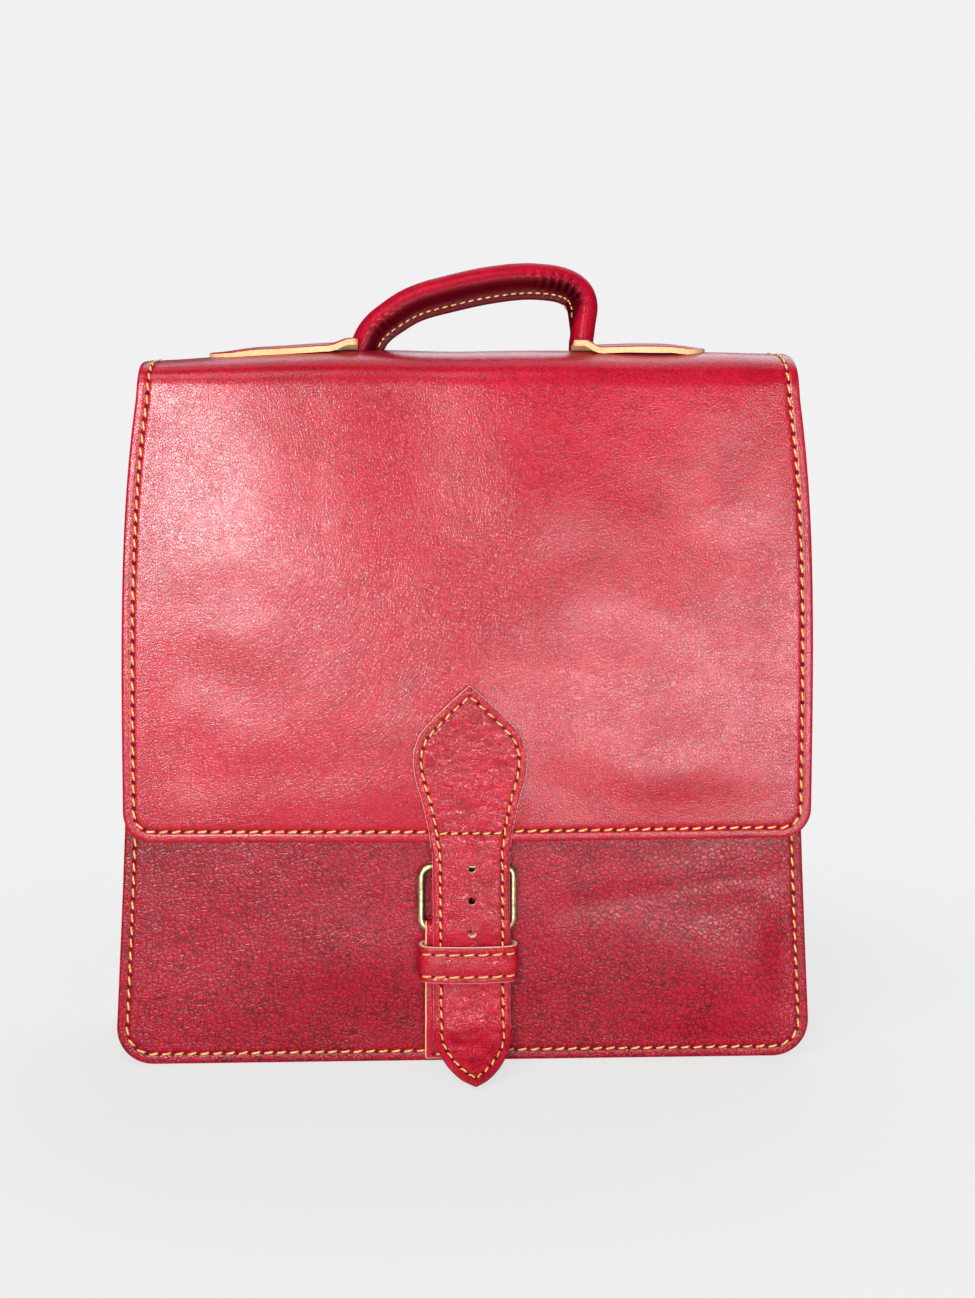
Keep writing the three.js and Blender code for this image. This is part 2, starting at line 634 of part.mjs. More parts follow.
const PRONG = 0.95; // radius
function prong() {
  const bar = new THREE.Vector3(BUCKLE_X, inFront(BAR_FORWARD), BAR_HEIGHT);
  const ring = new THREE.TorusGeometry(EYE_INNER + PRONG, PRONG, 8, 20).rotateY(Math.PI / 2);
  ring.translate(bar.x, bar.y, bar.z);
  const overBar = TOP_BAR_FORWARD + WIRE + GAP + PRONG;
  const points = [
    [BAR_HEIGHT + 2.3, BAR_FORWARD + 1.6],
    [BAR_HEIGHT + 6, overBar + 0.3],
    [BAR_HEIGHT + FRAME_HEIGHT, overBar],
    [BAR_HEIGHT + FRAME_HEIGHT + 2.4, overBar - 0.1],
  ].map(([z, forward]) => new THREE.Vector3(BUCKLE_X, inFront(forward), z));
  const tongue = cord(points, PRONG, 10, 8);
  return toGeometry(toSolid(ring).add(toSolid(tongue)));
}
add("buckle_prong", prong(), BRASS);

// ---- Keeper: a closed leather loop round the buckle strap and the tail ----
const KEEPER_HALF_WIDTH = 19.3;
const KEEPER_BACK = GAP + 0.05;
const KEEPER_FRONT = 13;
const KEEPER_X = 0.6;

function roundedBox(half, low, high, radius) {
  const shape = new THREE.Shape();
  shape.moveTo(-half + radius, low);
  shape.absarc(half - radius, low + radius, radius, -Math.PI / 2, 0, false);
  shape.absarc(half - radius, high - radius, radius, 0, Math.PI / 2, false);
  shape.absarc(-half + radius, high - radius, radius, Math.PI / 2, Math.PI, false);
  shape.absarc(-half + radius, low + radius, radius, Math.PI, Math.PI * 1.5, false);
  return shape;
}

function keeper() {
  const shape = roundedBox(KEEPER_HALF_WIDTH, KEEPER_BACK, KEEPER_FRONT, 4);
  const low = KEEPER_BACK + KEEPER_LEATHER;
  const high = KEEPER_FRONT - KEEPER_LEATHER;
  shape.holes.push(roundedBox(KEEPER_HALF_WIDTH - KEEPER_LEATHER, low, high, 2.5));
  const options = { depth: KEEPER_HIGH - KEEPER_LOW, bevelEnabled: false, curveSegments: 4 };
  const geometry = new THREE.ExtrudeGeometry(shape, options);
  // The shape's second axis points to the front of the bag.
  geometry.rotateX(Math.PI).translate(KEEPER_X, -STRAP_ZONE_FRONT, KEEPER_HIGH);
  return geometry;
}
add("keeper_loop", keeper(), RED);

export default bag;
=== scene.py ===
"""The satchel's finished look: every leather piece, stitch and metal part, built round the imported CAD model.

Shapes are worked out in millimetres and become metres when a mesh is made.
"""

import math

import bpy
import numpy as np
from mathutils import Matrix, Vector, noise
from mathutils.bvhtree import BVHTree
from mathutils.geometry import delaunay_2d_cdt


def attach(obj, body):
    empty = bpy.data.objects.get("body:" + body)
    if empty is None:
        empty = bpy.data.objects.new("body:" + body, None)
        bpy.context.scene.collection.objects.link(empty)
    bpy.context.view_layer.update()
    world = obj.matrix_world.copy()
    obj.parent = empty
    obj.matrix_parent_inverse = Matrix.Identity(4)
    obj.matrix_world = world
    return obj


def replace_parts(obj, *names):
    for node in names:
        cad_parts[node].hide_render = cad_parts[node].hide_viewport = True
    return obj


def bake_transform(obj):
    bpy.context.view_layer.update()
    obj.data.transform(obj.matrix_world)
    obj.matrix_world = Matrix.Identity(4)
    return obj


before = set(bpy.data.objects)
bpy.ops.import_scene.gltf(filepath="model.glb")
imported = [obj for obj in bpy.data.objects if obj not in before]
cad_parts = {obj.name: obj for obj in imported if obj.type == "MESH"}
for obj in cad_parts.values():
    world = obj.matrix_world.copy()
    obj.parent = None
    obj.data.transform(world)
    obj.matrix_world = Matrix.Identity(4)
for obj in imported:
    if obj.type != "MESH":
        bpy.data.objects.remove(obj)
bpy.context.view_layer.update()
MM = 0.001

# ---- The bag's dimensions, which are the CAD model's where it has them ----
GAP = 0.3
BODY_LEATHER = 1.8
GUSSET_LEATHER = 1.5
FLAP_LEATHER = 1.6
LINING = 0.8
PLY_GAP = 0.05  # between two layers that are sewn or glued together
STRAP_LEATHER = 1.6
STRAP_BACKING = 1.2
FRONT_TOP = 256.0
FOLD = 264.0
BASE_HALF_DEPTH = 35.0
TOP_HALF_DEPTH = 24.0
BASE_HALF_WIDTH = 137.0
TOP_HALF_WIDTH = 126.5
PANEL_CORNER = 15.0
PANEL_BOTTOM = 0.4
SEAM = 5.0
STITCH_INSET = 4.0
FLAP_BOTTOM = 89.0
FLAP_HALF_WIDTH = 133.7
FLAP_TOP_HALF_WIDTH = 125.8
FLAP_CORNER = 11.5
FLAP_X = 1.4
FLAP_STANDOFF = 1.6
BRIDGE_RISE = 12.2
ARCH = 2.6
STRAP_ZONE_FRONT = 34.9
BAR_HEIGHT = 54.8
BAR_FORWARD = 3.65
FRAME_HEIGHT = 24.2
TOP_BAR_FORWARD = 2.1
FRAME_WIDTH = 35.8
WIRE = 1.5
BUCKLE_X = 0.2
HOLE_RADIUS = 1.7
HOLE_PITCH = 12.7
KEEPER_LOW = 35.3
KEEPER_HIGH = 49.4
SWELL_EDGE = 7.0
MOUTH_PINCH = 2.4  # the mouth is drawn in a little, under the flap
FRONT_SWELL = 4.0
BACK_SWELL = 3.0


# ---- Small helpers ----
def smoothstep(x, low, high):
    t = np.clip((x - low) / (high - low), 0, 1)
    return t * t * (3 - 2 * t)


def bell(x, middle, width):
    return np.exp(-(((x - middle) / width) ** 2))


def unit(rows):
    return rows / np.linalg.norm(rows, axis=1)[:, None]


def right_of(way):
    """2-D directions turned a quarter turn clockwise."""
    return np.stack([way[:, 1], -way[:, 0]], axis=-1)


def rectangle(u_low, u_high, v_low, v_high):
    return np.array([[u_low, v_low], [u_high, v_low], [u_high, v_high], [u_low, v_high]])


def noise_at(points, scale, seed=0.0):
    """Smooth noise from about -1 to 1 at 2-D points, with features about scale millimetres across."""
    return np.array([noise.noise((x / scale, y / scale, seed)) for x, y in points])


def catmull(points, steps=12):
    """A smooth curve through points, as a dense line."""
    p = np.array(points, float)
    p = np.vstack([2 * p[0] - p[1], p, 2 * p[-1] - p[-2]])
    t = np.linspace(0, 1, steps, endpoint=False)[:, None]
    out = []
    for a, b, c, d in zip(p, p[1:], p[2:], p[3:]):
        squared, cubed = (2 * a - 5 * b + 4 * c - d) * t**2, (3 * b - a - 3 * c + d) * t**3
        out.append(0.5 * (2 * b + (c - a) * t + squared + cubed))
    out.append(p[-2:-1])
    return np.vstack(out)


def lengths(line):
    """The distance along a line of points to each of them."""
    return np.concatenate([[0], np.cumsum(np.linalg.norm(np.diff(line, axis=0), axis=1))])


def along(line, s, total=None):
    """Points at distances s along a line."""
    at = lengths(line) if total is None else total
    return np.stack([np.interp(s, at, line[:, k]) for k in range(line.shape[1])], axis=-1)


def resample(line, step):
    """The same line with points evenly spaced, about step apart."""
    total = lengths(line)[-1]
    return along(line, np.linspace(0, total, max(2, round(total / step) + 1)))


def closed(loop):
    return np.vstack([loop, loop[:1]])


def arc(centre, radius, start, end, steps=14):
    """Points on an arc, with angles in degrees."""
    turn = np.radians(np.linspace(start, end, steps))
    return np.stack([centre[0] + radius * np.cos(turn), centre[1] + radius * np.sin(turn)], axis=-1)


def distance_to(points, lines):
    """Each 2-D point's distance to the nearest of some lines."""
    best = np.full(len(points), 1e9)
    for line in lines:
        a, b = line[:-1], line[1:]
        d = b - a
        square = np.maximum((d * d).sum(1), 1e-12)
        for i in range(0, len(points), 1500):
            p = points[i : i + 1500, None, :]
            t = np.clip(((p - a) * d).sum(2) / square, 0, 1)
            off = p - (a + t[..., None] * d)
            best[i : i + 1500] = np.minimum(best[i : i + 1500], np.sqrt((off * off).sum(2)).min(1))
    return best


# ---- Sheets of leather ----
EDGE_RINGS = (0.3, 0.8, 1.5, 2.3, 3.0, 3.5, 4.0, 4.5, 5.1, 6.0, 7.5)
EDGE_ROUND = 0.45  # how far a cut edge's corner is worn down
EDGE_ROUND_WIDTH = 0.7
GROOVE_DEPTH = 0.38
GROOVE_WIDTH = 0.8


def inset(loop, distance):
    """A counter-clockwise loop moved inwards."""
    tangent = np.roll(loop, -1, 0) - np.roll(loop, 1, 0)
    normal = np.stack([-tangent[:, 1], tangent[:, 0]], axis=-1)
    return loop + distance * normal / np.linalg.norm(normal, axis=1)[:, None]


def triangulate(outline, holes, spacing, step, rings):
    """Points and triangles that fill an outline, closest together near its edge."""
    loops = [resample(closed(o), step)[:-1] for o in (outline, *holes)]
    edge = [closed(loop) for loop in loops]
    inner = [inset(loops[0], d) for d in rings]
    inner = [p[distance_to(p, edge) > 0.85 * d] for p, d in zip(inner, rings)]
    low, high = outline.min(0), outline.max(0)
    columns = np.arange(low[0], high[0], spacing)
    rows = np.arange(low[1], high[1], spacing * 0.87)
    x, y = np.meshgrid(columns, rows)
    x = x + (np.arange(len(rows)) % 2)[:, None] * spacing / 2
    grid = np.stack([x.ravel(), y.ravel()], axis=-1)
    grid = grid[distance_to(grid, edge) > (rings[-1] if rings else 0) + spacing * 0.55]
    points = np.vstack([*loops, *inner, grid])
    faces, first = [], 0
    for loop in loops:
        faces.append(list(range(first, first + len(loop))))
        first += len(loop)
    coords, _, tris, _, _, origins = delaunay_2d_cdt([Vector(p) for p in points], [], faces, 1, 1e-6)
    coords = np.array([tuple(c) for c in coords])
    tris = np.array([t for t, origin in zip(tris, origins) if list(origin) == [0]])
    a, b, c = (coords[tris[:, k]] for k in range(3))
    area = (b[:, 0] - a[:, 0]) * (c[:, 1] - a[:, 1]) - (b[:, 1] - a[:, 1]) * (c[:, 0] - a[:, 0])
    tris[area < 0] = tris[area < 0][:, ::-1]
    used, tris = np.unique(tris[np.abs(area) > 1e-9], return_inverse=True)
    return coords[used], tris.reshape(-1, 3)


def normals_of(place, uv, reach=0.25):
    du, dv = np.array([reach, 0]), np.array([0, reach])
    across = place(uv + du) - place(uv - du)
    up = place(uv + dv) - place(uv - dv)
    return unit(np.cross(across, up))


def make_object(name, points, faces, materials, indices=None, smooth=True):
    mesh = bpy.data.meshes.new(name)
    mesh.from_pydata((np.asarray(points) * MM).tolist(), [], [list(map(int, f)) for f in faces])
    for material in materials:
        mesh.materials.append(material)
    if indices is not None:
        mesh.polygons.foreach_set("material_index", np.asarray(indices, np.int32))
    mesh.polygons.foreach_set("use_smooth", np.full(len(mesh.polygons), smooth))
    mesh.update()
    obj = bpy.data.objects.new(name, mesh)
    bpy.context.scene.collection.objects.link(obj)
    return obj


def store(obj, name, kind, values):
    """Stores a value or a vector at each of a mesh's points."""
    attribute = obj.data.attributes.new(name, kind, "POINT")
    field = "vector" if kind == "FLOAT_VECTOR" else "value"
    attribute.data.foreach_set(field, np.asarray(values).astype(np.float32).ravel())


def band_faces(rings, sides, first=0, around=False):
    """Faces that join neighbouring rings of points, and the last to the first if the rings go around."""
    faces = []
    for i in range(rings if around else rings - 1):
        a, b = first + i * sides, first + (i + 1) % rings * sides
        faces += [(a + j, a + (j + 1) % sides, b + (j + 1) % sides, b + j) for j in range(sides)]
    return faces


class Sheet:
    """A sheet of leather: a flat outline, a function that puts its outer face in place, and a thickness.

    The materials are for the outer face, the inner face and the cut edge. Grooves are the lines of stitches.
    """

    count = 0

    def __init__(self, name, outline, place, thickness, materials, holes=(), spacing=3.0, step=1.3,
                 rings=EDGE_RINGS, cuts=None, grooves=(), relief=None, wave=0.35, bevel=0.0,
                 shaded_hollows=0.0):
        uv, tris = triangulate(outline, holes, spacing, step, rings)
        cuts = [closed(outline), *(closed(h) for h in holes)] if cuts is None else cuts
        to_edge = distance_to(uv, [resample(c, 2.0) for c in cuts])
        height = -EDGE_ROUND * np.clip(1 - to_edge / EDGE_ROUND_WIDTH, 0, 1) ** 2
        if grooves:
            to_stitch = distance_to(uv, [resample(g, 2.0) for g in grooves])
            height = height - GROOVE_DEPTH * np.exp(-((to_stitch / GROOVE_WIDTH) ** 2))
        common = np.zeros(len(uv))
        if wave:
            Sheet.count += 1
            fade = smoothstep(to_edge, 2, 25)
            slow, quick = noise_at(uv, 34, Sheet.count), noise_at(uv, 13, Sheet.count + 50)
            common = wave * fade * (slow + 0.5 * quick)
        if relief is not None:
            common = common + relief(uv)
        surface, normal = place(uv), normals_of(place, uv)
        outer = surface + normal * (height + common)[:, None]
        inner = surface + normal * (common - thickness)[:, None]
        n = len(uv)
        sides = np.vstack([tris[:, [0, 1]], tris[:, [1, 2]], tris[:, [2, 0]]])
        keys = {(a, b) for a, b in sides.tolist()}
        rim = [(a, b) for a, b in keys if (b, a) not in keys]
        walls = [(b, a, a + n, b + n) for a, b in rim]
        faces = tris.tolist() + (tris[:, ::-1] + n).tolist() + walls
        # A bevelled edge shows its raw cut corner as well as its side.
        cut_corner = to_edge[tris].mean(axis=1) < bevel
        indices = [2 if cut else 0 for cut in cut_corner] + [1] * len(tris) + [2] * len(walls)
        self.obj = make_object(name, np.vstack([outer, inner]), faces, materials, indices)
        rim_keys = {tuple(sorted(e)) for e in rim} | {tuple(sorted((a + n, b + n))) for a, b in rim}
        sharp = [tuple(sorted(e.vertices)) in rim_keys for e in self.obj.data.edges]
        self.obj.data.attributes.new("sharp_edge", "BOOLEAN", "EDGE").data.foreach_set("value", sharp)
        layer = np.repeat([Sheet.count * 37.0, Sheet.count * 37.0 + 11], n)
        # The grain is each point's place on the flat hide, in metres.
        store(self.obj, "grain", "FLOAT_VECTOR", np.column_stack([np.vstack([uv, uv]), layer]) * MM)
        # Painted shade: how deep each point lies in the relief's hollows, which darkens its colour.
        if shaded_hollows:
            hollow_shade = np.clip(-relief(uv), 0, 1) * shaded_hollows
            store(self.obj, "hollow_shade", "FLOAT", np.concatenate([hollow_shade, 0 * hollow_shade]))
        self.place = place
        self.tree = BVHTree.FromPolygons(outer.tolist(), tris.tolist())

    def on_surface(self, points, normals, lift):
        """Points dropped on to the finished outer face, and then lifted a little."""
        out = []
        for p, n in zip(points, normals):
            start, down = Vector(p + 3 * n), Vector(-n)
            hit = self.tree.ray_cast(start, down, 8)[0]
            out.append(np.array(hit) + lift * n if hit is not None else p)
        return np.array(out)


# ---- Stitches ----
THREAD_RADIUS = 0.42
STITCH_SHARE = 0.66  # the part of each stitch that shows
STITCH_SLANT = 11.0  # degrees off the line
STITCH_CROWN = 0.16  # how high a stitch's middle lies above the leather
STITCH_DIVE = 0.62
STITCH_STATIONS = 7
STITCH_SIDES = 6
NEEDLE_SIDES = 10
# Each needle hole is a dark disc of painted shade, laid just above the leather.
NEEDLE_LIFT = 0.04  # the dark spot lies this far above the leather
NEEDLE_HALF = np.array([0.23, 0.18])  # half a hole's length and width, as shares of the pitch


def stitches(name, sheet, lines, pitch=5.0, slant=STITCH_SLANT, radius=THREAD_RADIUS, hole=1.0):
    """Slanted stitches along lines on a sheet, each diving into a needle hole drawn as a dark disc of painted
    shade.
    """
    points, faces, indices = [], [], []
    t = np.linspace(-1, 1, STITCH_STATIONS)
    turn = np.linspace(0, 2 * math.pi, STITCH_SIDES, endpoint=False)
    needle_turn = np.linspace(0, 2 * math.pi, NEEDLE_SIDES, endpoint=False)
    for line in lines:
        total = lengths(line)[-1]
        count = max(1, round(total / pitch))
        real = total / count
        for i in range(count):
            wobble = 0.5 * noise.noise((i * 1.7, total, 3.1))
            mid = (i + 0.5) * real
            ends = along(line, np.array([mid - real / 2, mid + real / 2]))
            centre = along(line, np.array([mid]))[0]
            way = (ends[1] - ends[0]) / np.linalg.norm(ends[1] - ends[0])
            lean = math.radians(slant * (1 + wobble))
            c, s = math.cos(lean), math.sin(lean)
            way = np.array([c * way[0] - s * way[1], s * way[0] + c * way[1]])
            uv = centre + way * (t * real * STITCH_SHARE / 2)[:, None]
            normal = normals_of(sheet.place, uv)
            height = STITCH_CROWN - STITCH_DIVE * np.abs(t) ** 3
            middle = sheet.place(uv) + normal * height[:, None]
            forward = unit(np.gradient(middle, axis=0))
            side = unit(np.cross(forward, normal))
            lift = np.cross(side, forward)
            r = radius * (1 - 0.35 * t**4) * (1 + 0.1 * wobble)
            first = len(points)
            for k in range(STITCH_STATIONS):
                ring = np.outer(np.cos(turn), side[k]) + np.outer(np.sin(turn), lift[k])
                points.extend(middle[k] + ring * r[k])
            faces += band_faces(STITCH_STATIONS, STITCH_SIDES, first)
            indices += [0] * (len(faces) - len(indices))
            # The needle hole's painted shade at the stitch's start, and one at the end of the line.
            for at in [ends[0]] + ([ends[1]] if i == count - 1 else []):
                out = np.array([-way[1], way[0]])
                wide, tall = NEEDLE_HALF * real * hole
                ring = at + np.outer(np.cos(needle_turn) * wide, way)
                ring = np.vstack([ring + np.outer(np.sin(needle_turn) * tall, out), at])
                first = len(points)
                points.extend(sheet.on_surface(sheet.place(ring), normals_of(sheet.place, ring), NEEDLE_LIFT))
                hub = first + NEEDLE_SIDES
                faces += [(first + j, first + (j + 1) % NEEDLE_SIDES, hub) for j in range(NEEDLE_SIDES)]
                indices += [1] * NEEDLE_SIDES
    return make_object(name, points, faces, [THREAD, NEEDLE_HOLE_SHADE], indices)


# ---- Materials ----
class Shading:
    """A node tree, with short ways to add nodes and to feed their inputs from values or from other nodes."""

    def __init__(self, tree):
        self.nodes, self.links = tree.nodes, tree.links

    def feed(self, made, inputs):
        for key, value in inputs.items():
            if isinstance(value, bpy.types.NodeSocket):
                self.links.new(value, made.inputs[key])
            else:
                made.inputs[key].default_value = value

    def add(self, kind, inputs=None, **settings):
        made = self.nodes.new(kind)
        for key, value in settings.items():
            setattr(made, key, value)
        self.feed(made, inputs or {})
        return made

    def place(self):
        """Where a point is on its object."""
        return self.add("ShaderNodeTexCoord").outputs["Object"]

    def stored(self, name, output):
        """What a mesh's points store under a name."""
        return self.add("ShaderNodeAttribute", attribute_name=name).outputs[output]

    def maths(self, operation, *values):
        return self.add("ShaderNodeMath", dict(enumerate(values)), operation=operation).outputs[0]

    def noise(self, vector, scale, detail=3.0, roughness=0.55, distortion=0.0, output="Fac"):
        inputs = {"Vector": vector, "Scale": scale, "Detail": detail, "Roughness": roughness,
                  "Distortion": distortion}
        return self.add("ShaderNodeTexNoise", inputs).outputs[output]

    def map_range(self, value, from_min=0.0, from_max=1.0, to_min=0.0, to_max=1.0, **settings):
        inputs = {"Value": value, "From Min": from_min, "From Max": from_max, "To Min": to_min,
                  "To Max": to_max}
        return self.add("ShaderNodeMapRange", inputs, **settings).outputs[0]

    def bump(self, height, distance, strength=1.0, **inputs):
        inputs.update(Height=height, Distance=distance, Strength=strength)
        return self.add("ShaderNodeBump", inputs).outputs[0]

    def ramp(self, source, stops):
        made = self.add("ShaderNodeValToRGB", {0: source})
        elements = made.color_ramp.elements
        while len(elements) < len(stops):
            elements.new(0.5)
        for element, (position, colour) in zip(elements, stops):
            element.position = position
            element.color = (*colour, 1)
        return made.outputs["Color"]

    def darken(self, colour, by):
        """A colour multiplied by another output."""
        inputs = {0: 1.0, 6: colour, 7: by}
        return self.add("ShaderNodeMix", inputs, data_type="RGBA", blend_type="MULTIPLY").outputs[2]


def new_material(name):
    material = bpy.data.materials.new(name)
    material.use_nodes = True
    tree = Shading(material.node_tree)
    return material, tree, tree.nodes["Principled BSDF"]


PATTERN_WANDER = 0.0012  # how far the pebbles' pattern is bent out of true, in metres
SWELL_HEIGHT = 0.00015  # of the slow swells in the wax, in metres
PORE_SHARE = 0.03
FOLD_SHADE = 0.25
COAT_ROUGHNESS = 0.21
DYED_SPECULAR = 0.04  # nearly all the gloss is the wax's
# How the handle's painted shade fades in, and how dark it gets.
FLANGE_FADE = 0.0034
FLANGE_SHADE = 0.2


def leather(name, deep, mid, bright, cell=1.15, depth=0.00009, roughness=0.42, crease=0.25, coat=0.5,
            wax_relief=0.3, line_shade=0.4, shade_beyond=0.0):
    """Dyed full-grain leather: pebbled grain, fine directional creases and pores, with painted shade in the
    grain's lines, along the folds and in the wrinkles' hollows.

    cell is the pebbles' width in millimetres and depth their height in metres. The wax on top keeps
    wax_relief of it.
    """
    material, tree, shader = new_material(name)
    vector = tree.stored("grain", "Vector")
    warp = tree.noise(vector, 260.0, 2.0, output="Color")
    moved = tree.add("ShaderNodeVectorMath", {0: warp, 1: [PATTERN_WANDER] * 3, 2: vector},
                     operation="MULTIPLY_ADD").outputs[0]
    cells = tree.add("ShaderNodeTexVoronoi", {"Vector": moved, "Scale": 1000.0 / cell, "Randomness": 1.0},
                     feature="DISTANCE_TO_EDGE").outputs["Distance"]
    pebble = tree.map_range(cells, from_max=0.22, interpolation_type="SMOOTHSTEP")
    stretch = {"Vector": moved, "Scale": (0.6, 1.0, 1.0), "Rotation": (0, 0, 0.25)}
    stretched = tree.add("ShaderNodeMapping", stretch).outputs[0]
    folds = tree.noise(stretched, 520.0, 4.0, 0.6, 0.8)
    fold_line = tree.maths("ABSOLUTE", tree.maths("SUBTRACT", folds, 0.5))
    fold_height = tree.map_range(fold_line, from_max=0.07)
    pores = tree.noise(vector, 3600.0, 2.0, 0.6)
    broad = tree.noise(vector, 16.0, 4.0, 0.55, 0.4)
    patches = tree.noise(vector, 75.0, 3.0, 0.5)
    strength = tree.map_range(patches, 0.3, 0.7, 0.65)
    grain_height = tree.maths("MULTIPLY", pebble, strength)
    creased = tree.maths("MULTIPLY_ADD", fold_height, crease, grain_height)
    height = tree.maths("MULTIPLY_ADD", pores, PORE_SHARE, creased)
    # The wax fills the grain a little, so its gloss follows a gentler relief than the dye does.
    wax = tree.bump(height, depth * wax_relief)
    # Painted shade: the fine lines between the pebbles and along the folds are darkened as if in shadow.
    between = tree.maths("MULTIPLY", tree.maths("SUBTRACT", 1.0, pebble), strength)
    lined = tree.maths("MULTIPLY_ADD", between, -line_shade, 1.0)
    in_fold = tree.maths("SUBTRACT", 1.0, fold_height)
    shade = tree.maths("MULTIPLY_ADD", in_fold, -FOLD_SHADE, lined)
    # So are the hollows of the wrinkles, where a piece says so, again as painted shade.
    shade = tree.maths("SUBTRACT", shade, tree.stored("hollow_shade", "Fac"))
    colour = tree.darken(tree.ramp(broad, [(0.3, deep), (0.5, mid), (0.72, bright)]), shade)
    if shade_beyond:
        # Painted shade: the handle is darkened away from the top of its roll, down its sides and over the
        # stitched flange.
        apart = tree.add("ShaderNodeSeparateXYZ", {0: vector}).outputs["Y"]
        off = tree.maths("ABSOLUTE", apart)
        handle_shade = tree.map_range(off, shade_beyond - FLANGE_FADE, shade_beyond, 1.0, FLANGE_SHADE)
        colour = tree.darken(colour, handle_shade)
    tree.feed(shader, {
        "Base Color": colour,
        "Normal": tree.bump(height, depth),
        "Roughness": tree.map_range(broad, 0.3, 0.7, roughness - 0.06, roughness + 0.08),
        "Specular IOR Level": DYED_SPECULAR,
        "Coat Weight": coat,
        "Coat Roughness": COAT_ROUGHNESS,
        "Coat Normal": tree.bump(patches, SWELL_HEIGHT, Normal=wax),
    })
    return material


def raw_leather(name, light, dark, fibre=900.0, depth=0.0002):
    """Undyed leather: a cut edge or a flesh side, matte and fibrous."""
    material, tree, shader = new_material(name)
    place = tree.place()
    fine = tree.noise(place, fibre, 4.0, 0.7)
    broad = tree.noise(place, 60.0)
    blend = tree.maths("MULTIPLY_ADD", fine, 0.5, tree.maths("MULTIPLY", broad, 0.5))
    colour = tree.ramp(blend, [(0.35, dark), (0.6, light)])
    tree.feed(shader, {"Base Color": colour, "Normal": tree.bump(fine, depth, 0.7), "Roughness": 0.85,
                       "Specular IOR Level": 0.2})
    return material


def thread_material():
    material, tree, shader = new_material("waxed_thread")
    twist = tree.noise(tree.place(), 1500.0, 2.0, 0.6)
    colour = tree.ramp(twist, [(0.36, (0.42, 0.2, 0.04)), (0.6, (0.85, 0.56, 0.17))])
    tree.feed(shader, {"Base Color": colour, "Normal": tree.bump(twist, 0.0002, 0.6), "Roughness": 0.5})
    return material


# A needle hole's dark colour is painted shade: the hole's shadow drawn on a disc.
def needle_shade_material():
    material, tree, shader = new_material("needle_hole_shade")
    hollow_shade = tree.noise(tree.place(), 700.0)
    colour = tree.ramp(hollow_shade, [(0.3, (0.06, 0.001, 0.004)), (0.7, (0.22, 0.004, 0.014))])
    tree.feed(shader, {"Base Color": colour, "Roughness": 0.9, "Specular IOR Level": 0.1})
    return material


def brass_material():
    """Antique brass: yellow where it is rubbed, brown-black where the patina is left."""
    material, tree, shader = new_material("antique_brass")
    place = tree.place()
    patina = tree.noise(place, 420.0, 5.0, 0.65)
    specks = tree.noise(place, 2600.0, 2.0, 0.6)
    blend = tree.maths("MULTIPLY_ADD", specks, 0.35, tree.maths("MULTIPLY", patina, 0.65))
    stops = [(0.36, (0.1, 0.075, 0.04)), (0.47, (0.33, 0.26, 0.13)), (0.62, (0.6, 0.52, 0.33))]
    tree.feed(shader, {"Base Color": tree.ramp(blend, stops), "Normal": tree.bump(blend, 0.0001, 0.35),
                       "Roughness": tree.map_range(blend, 0.35, 0.65, 0.5, 0.24), "Metallic": 1.0})
    return material


RED = leather("red_leather", (0.38, 0.002, 0.016), (0.44, 0.003, 0.022), (0.5, 0.005, 0.029))
# The front panel's and the gusset's red is darker than the flap's as painted shade, since they get less light;
# their coarser, softer grain is their own.
RED_SOFT_SHADED = leather("red_leather_soft_shaded", (0.3, 0.001, 0.012), (0.35, 0.002, 0.017), (0.41, 0.004, 0.023),
                   cell=1.9, depth=0.00013, crease=0.4, coat=0.4, wax_relief=0.45, line_shade=0.6)
RED_HANDLE = leather("red_leather_handle", (0.36, 0.001, 0.014), (0.46, 0.002, 0.022), (0.55, 0.004, 0.03),
                     cell=0.8, depth=0.00005, roughness=0.5, coat=0.1, shade_beyond=0.0094)
RED_STRAP = leather("red_leather_strap", (0.42, 0.002, 0.018), (0.52, 0.003, 0.026), (0.6, 0.006, 0.034),
                    cell=1.2, depth=0.00015, crease=1.0, coat=0.65, wax_relief=0.4)
ROPE = raw_leather("rope", (0.6, 0.5, 0.34), (0.4, 0.31, 0.18), 700.0)
EDGE = raw_leather("cut_edge", (0.86, 0.58, 0.3), (0.62, 0.33, 0.14))
PALE_EDGE = raw_leather("cut_edge_pale", (0.95, 0.66, 0.48), (0.78, 0.4, 0.28))
RED_EDGE = raw_leather("cut_edge_dyed", (0.5, 0.02, 0.04), (0.3, 0.004, 0.016))
SUEDE = raw_leather("flesh_side", (0.66, 0.42, 0.23), (0.5, 0.28, 0.13), 500.0, 0.0003)
THREAD = thread_material()
NEEDLE_HOLE_SHADE = needle_shade_material()
BRASS = brass_material()


# ---- The body's shape ----
def half_depth(z):
    return TOP_HALF_DEPTH + (BASE_HALF_DEPTH - TOP_HALF_DEPTH) * np.clip(1 - z / FOLD, 0, 1) ** 1.15


def half_width(z):
    taper = (BASE_HALF_WIDTH - TOP_HALF_WIDTH) * np.clip(1 - z / FOLD, 0, 1) ** 1.5
    return TOP_HALF_WIDTH + taper - MOUTH_PINCH * smoothstep(z, 222, FOLD)


def swell(x, z, most):
    across = np.clip(np.abs(x) / (half_width(z) - SWELL_EDGE), 0, 1)
    up = np.clip((z - SWELL_EDGE) / (FOLD - SWELL_EDGE), 0, 1)
    return most * (1 - across**2) ** 2 * np.sin(math.pi * up)


def front_y(x, z):
    return -(half_depth(z) + swell(x, z, FRONT_SWELL))


def back_y(x, z):
    return half_depth(z) + swell(x, z, BACK_SWELL)


